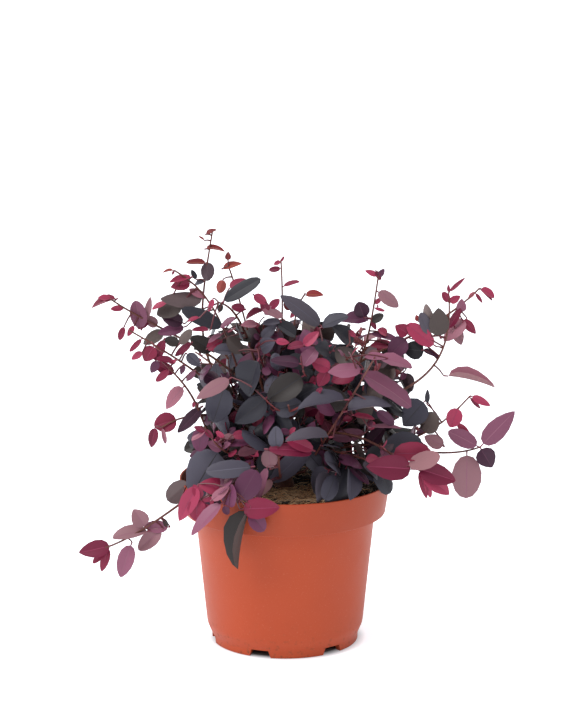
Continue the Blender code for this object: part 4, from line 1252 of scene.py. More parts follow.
def grow_spray(masses):
    """Grows the masses on to finer twigs: spurs between the leaves and small leaves at each tip."""
    placed = placed_twigs(masses)
    blades, spurs = placed_leaves(masses, placed)
    grown = Spray(list(placed), [], spurs, blades)
    shown = [whole_limb(mass) for mass in masses if mass.shoot.name in SHOWN_LIMBS]
    crowd = Crowd([blade.leaf for blade in blades], Front(blades, [*shown, *placed]))
    keep_leaves(masses, crowd, grown)
    for index, mass in enumerate(masses):
        rng = draws(SPUR_DRAWS, index)
        for number, twig in enumerate(mass.twigs):
            stem = twig.path
            if mass.shoot.name not in SHOOT_LEAVES:
                stem = stem[: max(2, np.argmin([*in_thick_crown(stem), False]))]
            (grown.side_twigs if number else grown.stems).append(stem)
            foot_place = 0.4 if number else 0
            grow_spurs(mass.shoot, stem, twig.first, foot_place, crowd, grown, rng)
    return grown


def keep_leaves(masses, crowd, grown):
    """Dresses the leaves of the solids that their habit keeps and that have room."""
    kept = []
    for index, mass in enumerate(masses):
        rng = draws(KEPT_LEAF_DRAWS, index)
        habit, stem = habit_of(mass.shoot), mass.twigs[0].path
        for leaf in mass.leaves:
            if rng.random() < habit.kept and crowd.has_room(leaf):
                kept.append(leaf)
                kind = leaf_kind(habit, nearest(stem, leaf.root) / len(stem), leaf.length, rng)
                grown.leaves.append(formed(leaf, kind, rng))
    crowd.add(kept)


def grow_spurs(shoot, stem, first, foot_place, crowd, grown, rng):
    """Spurs by turns to each side of a twig, and its tuft. The twig springs at a foot place from
    its shoot, and so its leaves are as new as the shoot's own from there to the tip."""
    habit, size = habit_of(shoot), length_of(stem)
    turn = 1 if rng.random() < 0.5 else -1
    steps = np.arange(first * size + SPUR_START, size * SPUR_END, habit.step) / size
    for place in [*steps, 1.0]:
        turn = -turn
        young = spur(shoot, habit, stem, place, turn, rng)
        if place < 1 and not (clear_of_pot(young, SPUR_ROOM) and in_thick_crown(young).all()):
            continue
        added = spur_leaves(shoot, habit, young, place, crowd, rng)
        if added and place < 1:
            grown.spurs.append(young)
        reached = foot_place + (1 - foot_place) * place
        for leaf in added:
            kind = leaf_kind(habit, reached, leaf.length, rng)
            grown.leaves.append(formed(leaf, kind, rng))


def spur(shoot, habit, stem, place, turn, rng):
    """A short fine twig to one side of its stem, or the stem's own last millimetres at its tip."""
    if place == 1.0:
        return stem[-6:]
    root, ahead = along(stem, [place, min(place + 0.05, 1)])
    tangent = unit(ahead - root)
    side = unit(np.cross(np.cross(tangent, direction(shoot.azimuth + 90, 0) * turn), tangent))
    spread, roll = math.radians(rng.uniform(*SPUR_SPREAD)), rng.normal(0, SPUR_ROLL)
    out = side * math.cos(roll) + np.cross(tangent, side) * math.sin(roll)
    heading = unit(tangent * math.cos(spread) + out * math.sin(spread))
    size = rng.uniform(*habit.spur) * (1.1 - 0.4 * place)
    tip = root + unit(heading + [0, 0, SPUR_LIFT]) * size
    return cubic(root, root + heading * size * 0.4, root + heading * size * 0.7, tip, 10)


def spur_leaves(shoot, habit, young, place, crowd, rng):
    """The leaves of a spur, by turns to each side, and a tuft of small ones at its tip."""
    added = []
    count = 0 if place == 1.0 else rng.integers(*habit.leaves)
    for k in range(count + rng.integers(*habit.tuft)):
        small = k >= count
        if small:
            where, length = 1.0, rng.uniform(*TIP_LEAF_SIZE)
        else:
            where = SPUR_LEAF_PLACES[0] + SPUR_LEAF_PLACES[1] * k / count
            length = shoot.leaf / 1000 * rng.uniform(*habit.size)
        for attempt in range(SPUR_TRIES):
            shrunk = length * (1 - SPUR_SHRINK_PER_TRY * attempt)
            leaf = place_leaf(shoot, young, where, shrunk, (-1) ** k, attempt, rng)
            if small:
                leaf = fanned(leaf, k, rng)
            if crowd.has_room(leaf):
                crowd.add([leaf])
                added.append(leaf)
                break
    return added


def fanned(leaf, k, rng):
    """A leaf of a tuft, leant out from the twig's end to its own side."""
    turn = TUFT_TURN * k + rng.uniform(-0.5, 0.5)
    across = np.cross(leaf.normal, leaf.axis)
    lean = across * math.cos(turn) + leaf.normal * math.sin(turn)
    axis = unit(leaf.axis + lean * rng.uniform(*TUFT_LEAN))
    normal = unit(leaf.normal - axis * (leaf.normal @ axis))
    return Leaf(leaf.root, axis, normal, leaf.length)


# Surfaces


def linked(name, data):
    """An object of its own for a mesh, a lamp or a camera, in the scene."""
    made = bpy.data.objects.new(name, data)
    bpy.context.scene.collection.objects.link(made)
    return made


def new_piece(name, points, faces, materials, slots=None, angle=60):
    """Adds a mesh object from points, faces and each face's material slot."""
    mesh = bpy.data.meshes.new(name)
    mesh.from_pydata(points.tolist(), [], faces)
    for made in materials:
        mesh.materials.append(made)
    if slots is not None:
        mesh.polygons.foreach_set("material_index", np.asarray(slots, np.int32))
    mesh.shade_smooth()
    mesh.set_sharp_from_angle(angle=math.radians(angle))
    return linked(name, mesh)


def carried(paths):
    """Two directions square to each path at each of its points, carried on without a twist."""
    tangents = unit(np.gradient(paths, axis=1))
    helper = np.where(np.abs(tangents[:, :1, 2:]) > 0.8, [[[1.0, 0, 0]]], [[[0, 0, 1.0]]])
    side = np.cross(tangents[:, 0], helper[:, 0])
    sides = []
    for k in range(paths.shape[1]):
        tangent = tangents[:, k]
        side = unit(side - tangent * (side * tangent).sum(axis=1, keepdims=True))
        sides.append(side)
    sides = np.stack(sides, axis=1)
    return sides, np.cross(tangents, sides)


def skin_faces(rows, sides):
    """Faces of a skin whose points run row by row round an axis, with its two end points last."""
    row, column = np.meshgrid(np.arange(rows - 1), np.arange(sides), indexing="ij")
    low, high, after = row * sides, (row + 1) * sides, (column + 1) % sides
    quads = np.stack([low + column, low + after, high + after, high + column], axis=-1).reshape(-1, 4)
    k = np.arange(sides)
    foot = np.stack([np.full(sides, rows * sides), (k + 1) % sides, k], axis=1)
    last = (rows - 1) * sides
    tip = np.stack([np.full(sides, rows * sides + 1), last + k, last + (k + 1) % sides], axis=1)
    return [quads, foot, tip]


def tubes(paths, radii, sides):
    """Tapering tubes along many paths at once, closed by a point at both ends.

    A point of the skin is its path's point plus the radius there times the cosine and the sine of
    its turn, along the two directions carried along the path. Radii are given by tube and point,
    or by tube, point and turn where the skin has relief.
    """
    count, rows = paths.shape[:2]
    across, upward = carried(paths)
    turn = np.arange(sides) * 2 * np.pi / sides
    if radii.ndim == 2:
        radii = np.repeat(radii[:, :, None], sides, axis=2)
    ring = across[:, :, None] * np.cos(turn)[:, None] + upward[:, :, None] * np.sin(turn)[:, None]
    skin = paths[:, :, None] + ring * radii[..., None]
    ends = np.stack([paths[:, 0], paths[:, -1]], axis=1)
    points = np.concatenate([skin.reshape(count, -1, 3), ends], axis=1)
    return points, spread_faces(skin_faces(rows, sides), count, points.shape[1])


def spread_faces(groups, count, stride):
    """The faces of one shape, repeated for a number of shapes that follow on in the points."""
    start = (np.arange(count) * stride)[:, None, None]
    return [(group[None] + start).reshape(-1, group.shape[1]) for group in groups]


def listed(groups):
    return [face for group in groups for face in group.tolist()]


def blade_shape():
    """Share along, share across and sheet (0 above, 1 below) of a blade's points, and its faces.

    The sheets share their margin and the points at their foot and tip. Faces come back as
    triangles and quads, each with its slot: 0 above, 1 below, 2 the midrib above.
    """
    rows, columns = BLADE_ROWS[1:-1], BLADE_COLUMNS
    width = len(columns)
    points = [(0, 0, 0)]
    above, below = [], []
    for row in rows:
        start = len(points)
        points += [(row, column, 0) for column in columns]
        above.append([start + k for k in range(width)])
        inner = len(points)
        points += [(row, column, 1) for column in columns[1:-1]]
        below.append([start, *[inner + k for k in range(width - 2)], start + width - 1])
    points.append((1, 0, 0))
    tip = len(points) - 1
    quads, quad_slots, triangles, triangle_slots = [], [], [], []
    for sheet, lines in enumerate((above, below)):
        for k in range(width - 1):
            slot = 1 if sheet else (2 if k == width // 2 - 1 else 0)
            for low, high in zip(lines, lines[1:]):
                quad = [low[k], low[k + 1], high[k + 1], high[k]]
                quads.append([quad[0], *quad[:0:-1]] if sheet else quad)
                quad_slots.append(slot)
            first, last = [0, lines[0][k + 1], lines[0][k]], [tip, lines[-1][k], lines[-1][k + 1]]
            triangles += [first[::-1], last[::-1]] if sheet else [first, last]
            triangle_slots += [slot, slot]
    return (np.array(points, float), np.array(quads), np.array(quad_slots),
            np.array(triangles), np.array(triangle_slots))


def blade_points(blades, rng):
    """Points of many blades at once, and where each one's stalk ends.

    At a share u along and v across, from -1 to 1, a point lies on the midrib, which bends down
    by the square of u and to the side by a little, plus v times the half width. The half width is
    the root of u times a power of 1 - u, which makes a rounded foot and a pointed tip. The halves
    rise from the midrib by the fold, bend down again by the curl times v squared, and their margin
    waves along u. The whole section turns about the midrib by a twist that grows with u. The lower
    sheet lies a thickness below.
    """
    shape, *_ = blade_shape()
    u, v, sheet = shape.T
    count = len(blades)
    root, axis, normal = (np.array([blade.leaf[k] for blade in blades]) for k in range(3))
    forms = [(blade.leaf.length, *blade[2:]) for blade in blades]
    length, width, fold, curl, twist = np.array(forms).T[:, :, None]
    across = np.cross(normal, axis)

    def spread(low, high):
        return rng.uniform(low, high, count)[:, None]

    point = spread(*BLADE_POINT)
    widest = 0.5 / (0.5 + point)
    outline = u**0.5 * (1 - u) ** point / (widest**0.5 * (1 - widest) ** point)
    half = 0.5 * width * length * outline
    share = STALK_SHARE + (1 - STALK_SHARE) * u
    sideways = half * v * np.cos(fold)
    lift = half * np.abs(v) * np.sin(fold) - curl * half * v**2
    wave = np.sin(2 * np.pi * MARGIN_WAVES * u + spread(0, 2 * np.pi) + 2 * np.sign(v))
    lift = lift + length * spread(*MARGIN_WAVE) * v**2 * wave
    turned = twist * (u - 0.2)
    sideways, lift = (sideways * np.cos(turned) - lift * np.sin(turned),
                      sideways * np.sin(turned) + lift * np.cos(turned))
    sideways = sideways + spread(-SIDE_BEND, SIDE_BEND) * length * share**2
    lift = lift - spread(*BLADE_DROOP) * length * share**2 - sheet * BLADE_THICKNESS
    points = (root[:, None] + axis[:, None] * (length * share)[..., None]
              + across[:, None] * sideways[..., None] + normal[:, None] * lift[..., None])
    return points, points[:, 0]


def lattice_noise(x, y, cell, seed):
    """Smooth random heights from -1 to 1: random values at the corners of square cells, blended
    across each cell by the smooth step 3t^2 - 2t^3 in both directions."""
    values = draws(seed).uniform(-1, 1, (97, 97))
    column, row = x / cell + 1000, y / cell + 1000
    i, j = np.floor(column).astype(int), np.floor(row).astype(int)
    s, t = column - i, row - j
    s, t = s * s * (3 - 2 * s), t * t * (3 - 2 * t)
    low = values[i % 97, j % 97] * (1 - s) + values[(i + 1) % 97, j % 97] * s
    high = values[i % 97, (j + 1) % 97] * (1 - s) + values[(i + 1) % 97, (j + 1) % 97] * s
    return low * (1 - t) + high * t


def rounded(corners, steps=5):
    """A profile's corners of radius, height and rounding, each rounded by a quadratic curve that
    leaves and joins the straight sides at the rounding's distance."""
    places = np.array([corner[:2] for corner in corners], float)
    line = [places[0]]
    for k in range(1, len(places) - 1):
        size = corners[k][2]
        before, after = unit(places[k - 1] - places[k]), unit(places[k + 1] - places[k])
        t = np.linspace(0, 1, steps)[:, None]
        start, end = places[k] + before * size, places[k] + after * size
        line.extend((1 - t) ** 2 * start + 2 * t * (1 - t) * places[k] + t**2 * end)
    line.append(places[-1])
    return np.array(line)


def turned_body(profile, turns):
    """Points and faces of a profile swept round the axis: a point's place is its radius times the
    cosine and sine of its turn, at its height. The profile starts and ends on the axis."""
    angle = np.arange(turns) * 2 * np.pi / turns
    ring = np.stack([np.cos(angle), np.sin(angle)], axis=1)
    inner = profile[1:-1]
    level = inner[:, None, :1] * ring[None]
    height = np.repeat(inner[:, None, 1:], turns, axis=1)
    skin = np.concatenate([level, height], axis=2).reshape(-1, 3)
    ends = [(0, 0, profile[0][1]), (0, 0, profile[-1][1])]
    outward = [np.roll(group[:, ::-1], 1, axis=1) for group in skin_faces(len(inner), turns)]
    return np.concatenate([skin, ends]), listed(outward)


# Materials


def colour(code):
    """A linear colour from its written code of red, green and blue."""
    parts = np.array([int(code[k : k + 2], 16) for k in (1, 3, 5)]) / 255
    linear = np.where(parts <= 0.04045, parts / 12.92, ((parts + 0.055) / 1.055) ** 2.4)
    return (*linear.tolist(), 1.0)


class Wire:
    """An output of a material's node, with sums written as in arithmetic."""

    def __init__(self, tree, socket=None):
        self.tree = tree
        self.socket = socket

    def node(self, kind, settings, inputs, output=0):
        """Makes any node: its settings first, then its inputs by name or number."""
        made = self.tree.nodes.new(kind)
        for key, value in settings.items():
            setattr(made, key, value)
        for key, value in inputs.items():
            if isinstance(value, Wire):
                self.tree.links.new(value.socket, made.inputs[key])
            else:
                made.inputs[key].default_value = value
        return Wire(self.tree, made.outputs[output])

    def maths(self, operation, first, second, limited=False):
        settings = {"operation": operation, "use_clamp": limited}
        return self.node("ShaderNodeMath", settings, {0: first, 1: second})

    def __add__(self, other):
        return self.maths("ADD", self, other)

    def __sub__(self, other):
        return self.maths("SUBTRACT", self, other)

    def __rsub__(self, other):
        return self.maths("SUBTRACT", other, self)

    def __mul__(self, other):
        return self.maths("MULTIPLY", self, other)

    def into(self, shader, key):
        """Leads this wire to an input of the shader."""
        self.tree.links.new(self.socket, shader.inputs[key])

    def limited(self):
        """The same value kept from 0 to 1."""
        return self.maths("ADD", self, 0.0, limited=True)

    def mixed(self, first, second):
        """A colour between two others, by this wire's value from 0 to 1."""
        inputs = {0: self, 6: first, 7: second}
        return self.node("ShaderNodeMix", {"data_type": "RGBA"}, inputs, output=2)


def blank(name, roughness=0.5, gloss=0.5):
    """A new material, its Principled shader, and a wire to start from."""
    made = bpy.data.materials.new(name)
    made.use_nodes = True
    shader = made.node_tree.nodes["Principled BSDF"]
    shader.inputs["Roughness"].default_value = roughness
    shader.inputs["Specular IOR Level"].default_value = gloss
    return made, shader, Wire(made.node_tree)


def plain(name, code, roughness, gloss=0.5):
    """A material of one colour."""
    made, shader, _ = blank(name, roughness, gloss)
    shader.inputs["Base Color"].default_value = colour(code)
    return made


def shades_of(name, codes, roughness, gloss=0.5, first=0):
    """Materials of one colour each, numbered on from the first."""
    return [plain(f"{name}_{k}", code, roughness, gloss) for k, code in enumerate(codes, first)]


def noise_of(wire, scale, detail=3.0):
    """Noise from 0 to 1 in the object's own directions, per metre."""
    place = wire.node("ShaderNodeTexCoord", {}, {}, output="Object")
    return wire.node("ShaderNodeTexNoise", {}, {"Vector": place, "Scale": scale, "Detail": detail})


def height_of(wire):
    """Height above the pot's foot, in metres."""
    place = wire.node("ShaderNodeTexCoord", {}, {}, output="Object")
    return wire.node("ShaderNodeSeparateXYZ", {}, {0: place}, output="Z")


def bumped(wire, shader, height, strength, distance):
    bump = wire.node("ShaderNodeBump", {}, {"Strength": strength, "Distance": distance, "Height": height})
    bump.into(shader, "Normal")


def pot_plastic():
    """Satin terracotta plastic with pale specks, a broad mottle of two tones, and earth round the foot."""
    made, shader, wire = blank("terracotta_plastic", gloss=0.25)
    broad = noise_of(wire, 14.0)
    specks = ((noise_of(wire, 900.0, 1.0) - 0.66) * 9.0).limited()
    low = (1.0 - height_of(wire) * (1 / 0.045)).limited()
    earth = ((noise_of(wire, 260.0, 4.0) - 0.57) * 9.0 * low * low).limited()
    base = broad.mixed(colour("#97391a"), colour("#a5411e"))
    base = (specks * 0.15).mixed(base, colour("#c98a70"))
    base = (earth * 0.7).mixed(base, colour("#5e3822"))
    # Painted shade: the rim band is darkened, with a thin painted shadow line just below its foot
    painted_band_shade = ((height_of(wire) - (POT_HEIGHT - BAND_HEIGHT - 0.0005)) * 2000.0).limited()
    base = (painted_band_shade * 0.35).mixed(base, colour("#7c2c14"))
    base.into(shader, "Base Color")
    rough = noise_of(wire, 60.0) * 0.12 + 0.44 + earth * 0.2
    rough.into(shader, "Roughness")
    bumped(wire, shader, noise_of(wire, 1100.0, 2.0), 0.12, 0.0004)
    return made


def flecked(name, shades, blend, fleck, roughness, bump):
    """A rough material: two shades that blend, flecks of a third, and a fine relief.

    The blend is a noise's scale and detail. The fleck is a noise's scale, the value where flecks
    begin, how sharply they do, and how strong they are. The bump is a noise's scale and detail,
    its strength and its depth in metres.
    """
    made, shader, wire = blank(name, roughness)
    first, second, third = (colour(code) for code in shades)
    scale, floor, slope, share = fleck
    spots = ((noise_of(wire, scale) - floor) * slope).limited()
    base = (spots * share).mixed(noise_of(wire, *blend).mixed(first, second), third)
    base.into(shader, "Base Color")
    grain, detail, strength, depth = bump
    bumped(wire, shader, noise_of(wire, grain, detail), strength, depth)
    return made


def earth_look():
    """Dark potting mix with paler crumbs."""
    shades = ("#17110d", "#33261c", "#6b5540")
    return flecked("potting_mix", shades, blend=(120.0, 4.0), fleck=(700.0, 0.55, 6.0, 0.45),
                   roughness=0.95, bump=(900.0, 4.0, 0.9, 0.0012))


def bark_look():
    """Red-brown bark, paler and more orange in flecks."""
    shades = ("#3d2019", "#6f3c2c", "#8c5a40")
    return flecked("reddish_bark", shades, blend=(90.0, 3.0), fleck=(520.0, 0.48, 4.0, 0.5),
                   roughness=0.72, bump=(1500.0, 3.0, 0.5, 0.0005))


# Pieces


def dress_pot():
    """The turned pot with rounded edges and drain notches through its foot."""
    band_foot = POT_HEIGHT - BAND_HEIGHT
    ring_inner = FOOT_RADIUS - FOOT_RING_WIDTH
    corners = [
        (0, FLOOR_TOP, 0),
        (FOOT_RADIUS - WALL, FLOOR_TOP, 0.002),
        (BODY_FOOT_RADIUS - WALL, BODY_FOOT_LEVEL, 0.003),
        (BODY_TOP_RADIUS - WALL, band_foot + WALL, 0.0015),
        (BAND_FOOT_RADIUS - WALL, band_foot + WALL, 0.0015),
        (RIM_RADIUS - WALL, POT_HEIGHT, 0.0007),
        (RIM_RADIUS, POT_HEIGHT, 0.0008),
        (BAND_FOOT_RADIUS, band_foot, 0.0008),
        (BODY_TOP_RADIUS, band_foot, 0.0012),
        (BODY_FOOT_RADIUS, BODY_FOOT_LEVEL, 0.003),
        (FOOT_RADIUS, FOOT_HEIGHT, 0.003),
        (FOOT_RADIUS, 0, 0.0009),
        (ring_inner, 0, 0.0007),
        (ring_inner, FLOOR_UNDERSIDE, 0.0005),
        (PAD_RADIUS, FLOOR_UNDERSIDE, 0.0005),
        (PAD_RADIUS, 0, 0.0007),
        (0, 0, 0),
    ]
    points, faces = turned_body(rounded(corners), POT_TURNS)
    pot = new_piece("nursery_pot", points, faces, [pot_plastic()], angle=POT_EDGE_ANGLE)
    cutter = notch_cutter()
    cut = pot.modifiers.new("notches", "BOOLEAN")
    cut.operation = "DIFFERENCE"
    cut.object = cutter
    bpy.context.view_layer.update()
    graph = bpy.context.evaluated_depsgraph_get()
    whole = bpy.data.meshes.new_from_object(pot.evaluated_get(graph))
    pot.modifiers.clear()
    pot.data = whole
    bpy.data.objects.remove(cutter)
    whole.shade_smooth()
    whole.set_sharp_from_angle(angle=math.radians(POT_EDGE_ANGLE))
    return pot


def notch_cutter():
    """Blocks that cut the drain notches, each wider at its foot."""
    cage = bmesh.new()
    depth = NOTCH_OUTER_RADIUS - NOTCH_INNER_RADIUS
    for k in range(NOTCHES):
        turn = math.radians(FIRST_NOTCH + 360 / NOTCHES * k)
        for vertex in bmesh.ops.create_cube(cage, size=1)["verts"]:
            low = vertex.co.z < 0
            away = NOTCH_INNER_RADIUS + depth * (vertex.co.x + 0.5)
            side = vertex.co.y * (NOTCH_WIDTH + (2 * NOTCH_FLARE if low else 0))
            vertex.co.x = away * math.cos(turn) - side * math.sin(turn)
            vertex.co.y = away * math.sin(turn) + side * math.cos(turn)
            vertex.co.z = -0.001 if low else NOTCH_HEIGHT
    mesh = bpy.data.meshes.new("notches")
    cage.to_mesh(mesh)
    cage.free()
    return linked("notches", mesh)


def soil_top(x, y):
    """Height of the potting mix: crumbs of three sizes over a surface that falls to the wall."""
    radius = np.hypot(x, y)
    level = np.interp(radius, [0, 0.045, 0.075, 0.091], [SOIL_LEVEL, SOIL_LEVEL + 0.0008,
                                                       SOIL_LEVEL - 0.0006, SOIL_EDGE_LEVEL])
    crumbs = (0.0016 * lattice_noise(x, y, 0.011, 1) + 0.0010 * lattice_noise(x, y, 0.0043, 2)
              + 0.0006 * lattice_noise(x, y, 0.0018, 3))
    return level + crumbs * np.clip((radius - 0.010) / 0.008, 0, 1)


def dress_soil():
    """The potting mix, with a rough top and a plain body that fills the pot."""
    room = WALL + GAP
    band_foot = POT_HEIGHT - BAND_HEIGHT + room
    edge = BAND_FOOT_RADIUS + (RIM_RADIUS - BAND_FOOT_RADIUS) / BAND_HEIGHT * (
        SOIL_EDGE_LEVEL - band_foot) - room
    top = np.stack([np.linspace(edge, 0, SOIL_ROWS), np.full(SOIL_ROWS, SOIL_LEVEL)], axis=1)
    body = [
        (0, FLOOR_TOP + GAP),
        (FOOT_RADIUS - room - 0.001, FLOOR_TOP + GAP),
        (BODY_FOOT_RADIUS - room, BODY_FOOT_LEVEL + 0.004),
        (BODY_TOP_RADIUS - room, band_foot),
        (BAND_FOOT_RADIUS - room, band_foot),
    ]
    profile = np.concatenate([body, top])[::-1]
    points, faces = turned_body(profile, SOIL_TURNS)
    upper = points[:, 2] > band_foot + 0.001
    points[upper, 2] = soil_top(points[upper, 0], points[upper, 1])
    return new_piece("loose_potting_mix", points, faces, [earth_look()], angle=80)


def scatter(patches, rng):
    """Places on the potting mix, in patches of a count, a centre and a spread, kept off the stem
    and the pot's wall."""
    found = []
    for count, centre, spread in patches:
        places = rng.normal(0, 1, (count * 3, 2)) * spread + centre
        radius = np.linalg.norm(places, axis=1)
        found.append(places[(radius > STEM_EDGE) & (radius < SOIL_RIM)][:count])
    places = np.concatenate(found)
    return np.column_stack([places, soil_top(*places.T)])


def lumps(name, places, sizes, flatness, materials, rng):
    """Small angular bits: an icosahedron each, stretched at random and turned at random."""
    cage = bmesh.new()
    bmesh.ops.create_icosphere(cage, subdivisions=1, radius=1)
    shape = np.array([vertex.co for vertex in cage.verts])
    faces = np.array([[vertex.index for vertex in face.verts] for face in cage.faces])
    cage.free()
    count = len(places)
    stretch = rng.uniform(0.55, 1.3, (count, 1, 3)) * [1, 1, flatness]
    angle, tilt = rng.uniform(0, 2 * np.pi, count), rng.normal(0, 0.35, count)
    points = shape[None] * stretch * rng.uniform(0.8, 1.2, (count, len(shape), 1))
    x, y, z = np.moveaxis(points * sizes[:, None, None], 2, 0)
    cos, sin, lean = np.cos(angle)[:, None], np.sin(angle)[:, None], np.sin(tilt)[:, None]
    turned_points = np.stack([x * cos - y * sin, x * sin + y * cos, z + x * lean], axis=2)
    whole = (turned_points + places[:, None]).reshape(-1, 3)
    groups = spread_faces([faces], count, len(shape))
    slots = np.repeat(rng.integers(0, len(materials), count), len(faces))
    return new_piece(name, whole, listed(groups), materials, slots, angle=30)


def dress_fibres(rng):
    """Coir fibres on the potting mix, most of them towards one side, each bent and arched."""
    start = scatter(FIBRE_PATCHES, rng)
    count, rows = len(start), FIBRE_ROWS
    share = np.linspace(0, 1, rows)[None, :]
    size = rng.uniform(*FIBRE_LENGTH, count)[:, None]
    heading = np.where(rng.random(count) < 0.7, rng.normal(0.25, 0.45, count),
                       rng.uniform(-math.pi, math.pi, count))[:, None]
    turn = heading + rng.normal(0, 0.9, count)[:, None] * (share - 0.5)
    x = start[:, :1] + np.cumsum(np.cos(turn), axis=1) / rows * size - 0.5 * size * np.cos(heading)
    y = start[:, 1:2] + np.cumsum(np.sin(turn), axis=1) / rows * size - 0.5 * size * np.sin(heading)
    inside = np.minimum(1, SOIL_RIM / np.hypot(x, y))
    x, y = x * inside, y * inside
    lift = rng.uniform(*FIBRE_ARCH, count)[:, None] * np.sin(np.pi * share) + FIBRE_ARCH[0]
    radii = np.repeat(rng.uniform(*FIBRE_RADIUS, count)[:, None], rows, axis=1)
    radii[:, -1] *= 0.4
    points, groups = tubes(np.stack([x, y, soil_top(x, y) + lift], axis=2), radii, 3)
    kinds = rng.integers(0, len(FIBRE_SHADES), count)
    slots = np.concatenate([np.repeat(kinds, len(group) // count) for group in groups])
    looks = shades_of("coir", FIBRE_SHADES, 0.8)
    return new_piece("coir_fibres", points.reshape(-1, 3), listed(groups), looks, slots)


def dress_litter(rng):
    """Coir fibres, grit, bark crumbs and one pale pebble on the potting mix."""
    pieces = [dress_fibres(rng)]
    for bits in LITTER:
        places = scatter(bits.patches, rng)
        sizes = rng.uniform(*bits.sizes, len(places))
        looks = shades_of(bits.look, bits.shades, bits.roughness)
        pieces.append(lumps(bits.piece, places, sizes, bits.flatness, looks, rng))
    place = np.array([[*PEBBLE_PLACE, soil_top(*PEBBLE_PLACE) + 0.001]])
    look = plain("pale_stone", "#c9c0b4", 0.6)
    return [*pieces, lumps("pebble", place, np.array([PEBBLE_SIZE]), 0.8, [look], rng)]


def limb_radii(radii, length, sides, rng):
    """Bark relief of one limb: its radius by point and turn, with a swelling at each old leaf
    scar, ridges that run along it, and small bumps."""
    rows = len(radii)
    run = np.linspace(0, length, rows)[:, None]
    turn = np.arange(sides)[None, :] * 2 * np.pi / sides
    scars = 0.10 * np.exp(-(((run + rng.uniform(0, 0.012)) % 0.013 - 0.0065) / 0.0012) ** 2)
    ridges = 0.05 * np.sin(3 * turn + 90 * run + rng.uniform(0, 6)) * np.cos(turn + 40 * run)
    bumps = rng.normal(0, 0.02, (rows, sides))
    return radii[:, None] * (1 + scars + ridges + bumps)


def dress_limbs(masses, rng):
    """The stem foot and the boughs, with the bark's relief."""
    bark = bark_look()
    heights = np.linspace(0, STEM_HEIGHT, STEM_ROWS)
    path, flare = (np.array(part) for part in zip(*[stem_point(height) for height in heights]))
    heights, turn = heights[:, None], np.arange(STEM_SIDES)[None, :] * 2 * np.pi / STEM_SIDES
    relief = 1 + 0.05 * np.sin(5 * turn + 30 * heights) + 0.03 * np.sin(9 * turn - 50 * heights)
    relief = relief + rng.normal(0, 0.012, relief.shape)
    points, groups = tubes(path[None], (flare[:, None] * relief)[None], STEM_SIDES)
    foot = new_piece("stem_foot_bark", points[0], listed(groups), [bark], angle=70)
    boughs = [mass.bough for mass in masses if len(mass.bough)]
    paths = evenly(boughs, BOUGH_ROWS)
    radii = np.linspace(BOUGH_RADIUS * 1.05, BOUGH_TIP_RADIUS, BOUGH_ROWS)
    skins = np.array([limb_radii(radii, length_of(bough), BOUGH_SIDES, rng) for bough in boughs])
    points, groups = tubes(paths, skins, BOUGH_SIDES)
    limbs = new_piece("bough_bark", points.reshape(-1, 3), listed(groups), [bark], angle=70)
    return foot, limbs


def dress_twigs(spray, stalks):
    """All leafy twigs, finer twigs and leaf stalks, as tapering tubes in plain bark colours."""
    mats = [plain("twig_brown", "#5a2c24", 0.6), plain("twig_red", "#6b2a2c", 0.55),
            plain("spur_brown", "#58252c", 0.5), plain("stalk_crimson", "#6e2a3a", 0.5)]
    kinds = (
        (spray.stems, 16, 6, TWIG_RADIUS, 0.0008),
        (spray.side_twigs, 9, 5, 0.001, 0.0006),
        (spray.spurs, 5, 4, 0.0008, 0.0006),
        (stalks, 3, 4, STALK_RADIUS, STALK_RADIUS * 0.8),
    )
    all_points, all_faces, slots, start = [], [], [], 0
    for kind, (paths, rows, sides, wide, slim) in enumerate(kinds):
        radii = np.repeat(np.linspace(wide, slim, rows)[None], len(paths), axis=0)
        points, groups = tubes(evenly(paths, rows), radii, sides)
        points = points.reshape(-1, 3)
        for face in listed(groups):
            all_faces.append([k + start for k in face])
        slots += [kind] * (len(all_faces) - len(slots))
        all_points.append(points)
        start += len(points)
    return new_piece("twigs", np.concatenate(all_points), all_faces, mats, slots)


def leaf_materials(kind):
    """Plain materials of one kind of leaf: shades above, shades below, then the midrib."""
    name = kind.name
    above = shades_of(f"{name}_leaf", kind.upper, LEAF_ROUGHNESS, LEAF_GLOSS, first=1)
    below = shades_of(f"{name}_underside", kind.under, UNDERSIDE_ROUGHNESS, UNDERSIDE_GLOSS, first=1)
    return [*above, *below, plain(f"{name}_midrib", kind.midrib, LEAF_ROUGHNESS, LEAF_GLOSS)]


def dress_leaves(spray, rng):
    """One piece for each kind of leaf, with a shade dealt to each leaf. Returns the stalks too."""
    _, quads, quad_slots, triangles, triangle_slots = blade_shape()
    pieces, stalks = [], []
    for number, kind in enumerate(KINDS):
        chosen = [blade for blade in spray.leaves if blade.kind == number]
        points, feet = blade_points(chosen, rng)
        stalks += [np.linspace(blade.leaf.root, foot, 4) for blade, foot in zip(chosen, feet)]
        count, shades = len(chosen), len(kind.upper)
        above = rng.integers(0, shades, count)[:, None]
        below = shades + rng.integers(0, len(kind.under), count)[:, None]
        rib = np.full((count, 1), shades + len(kind.under))
        groups = spread_faces([quads, triangles], count, points.shape[1])
        slots = []
        for parts in (quad_slots, triangle_slots):
            slots.append(np.choose(np.tile(parts, (count, 1)), [above, below, rib]).reshape(-1))
        pieces.append(new_piece(f"{kind.name}_leaves", points.reshape(-1, 3), listed(groups),
                                leaf_materials(kind), np.concatenate(slots)))
    return pieces, stalks


# Studio


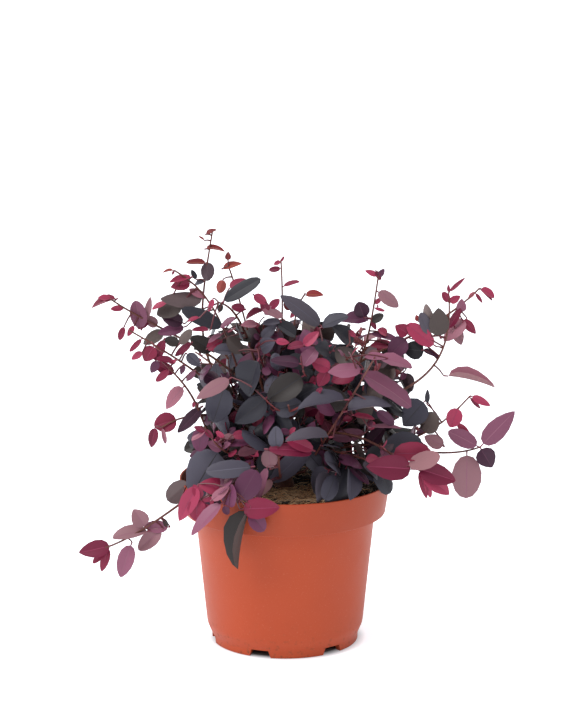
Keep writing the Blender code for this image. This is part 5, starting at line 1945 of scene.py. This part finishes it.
def studio():
    """White surroundings, a pale floor that glows with painted light and has a painted shadow under the pot,
    one broad soft light from the upper left, the camera.
    """
    scene = bpy.context.scene
    scene.view_settings.view_transform = "Standard"
    world = bpy.data.worlds.new("studio")
    scene.world = world
    world.use_nodes = True
    surround = world.node_tree.nodes["Background"]
    surround.inputs["Color"].default_value = (1.0, 1.0, 1.0, 1)
    surround.inputs["Strength"].default_value = SURROUND
    points = np.array([(-1, -1, 0), (1, -1, 0), (1, 1, 0), (-1, 1, 0)]) * FLOOR_REACH
    pale, shader, wire = blank("pale_floor", roughness=1.0)
    place = wire.node("ShaderNodeTexCoord", {}, {}, output="Object")
    away = wire.node("ShaderNodeVectorMath", {"operation": "LENGTH"}, {0: place}, output="Value")
    # Painted shadow: under the pot the floor is dark and does not glow; outside it, the floor glows with
    # painted light
    begins, full = PAINTED_SHADOW_EDGE
    outside_painted_shadow = ((away - begins) * (1 / (full - begins))).limited()
    painted_glow = outside_painted_shadow.mixed((0, 0, 0, 1), (0.92, 0.95, 1.0, 1))
    painted_glow.into(shader, "Emission Color")
    base = outside_painted_shadow.mixed((0.25, 0.22, 0.22, 1), (0.9, 0.92, 0.95, 1))
    base.into(shader, "Base Color")
    shader.inputs["Emission Strength"].default_value = FLOOR_PAINTED_GLOW
    new_piece("floor", points, [(0, 1, 2, 3)], [pale])
    lamp = bpy.data.lights.new("soft_lamp", "SUN")
    lamp.energy = LAMP_POWER
    lamp.angle = math.radians(LAMP_SPREAD)
    way = (-Vector(LAMP_SIDE)).to_track_quat("-Z", "Y")
    linked("soft_lamp", lamp).rotation_euler = way.to_euler()
    camera = bpy.data.cameras.new("camera")
    camera.lens = LENS
    camera.sensor_width = SENSOR
    scene.camera = linked("camera", camera)
    scene.camera.location = CAMERA_PLACE
    scene.camera.rotation_euler = (math.radians(90 - CAMERA_DIP), 0, 0)


def main():
    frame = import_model()
    masses = grow_masses()
    grow_leaves(masses)
    spray = grow_spray(masses)
    rng = draws(LOOK_DRAWS)
    leaves, stalks = dress_leaves(spray, rng)
    twigs = dress_twigs(spray, stalks)
    foot, limbs = dress_limbs(masses, rng)
    pot, soil = dress_pot(), dress_soil()
    litter = dress_litter(rng)
    replaced = {
        pot: ["pot"],
        soil: ["potting_mix"],
        foot: ["stem_foot"],
        limbs: [name for name in frame["nodes"] if name.startswith("bough_")],
        twigs: [name for name in frame["nodes"] if name.startswith("foliage_")],
    }
    for piece, names in replaced.items():
        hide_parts(*names)
    for piece in (pot, soil, foot, limbs, twigs, *leaves, *litter):
        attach(piece, "root")
    studio()


main()
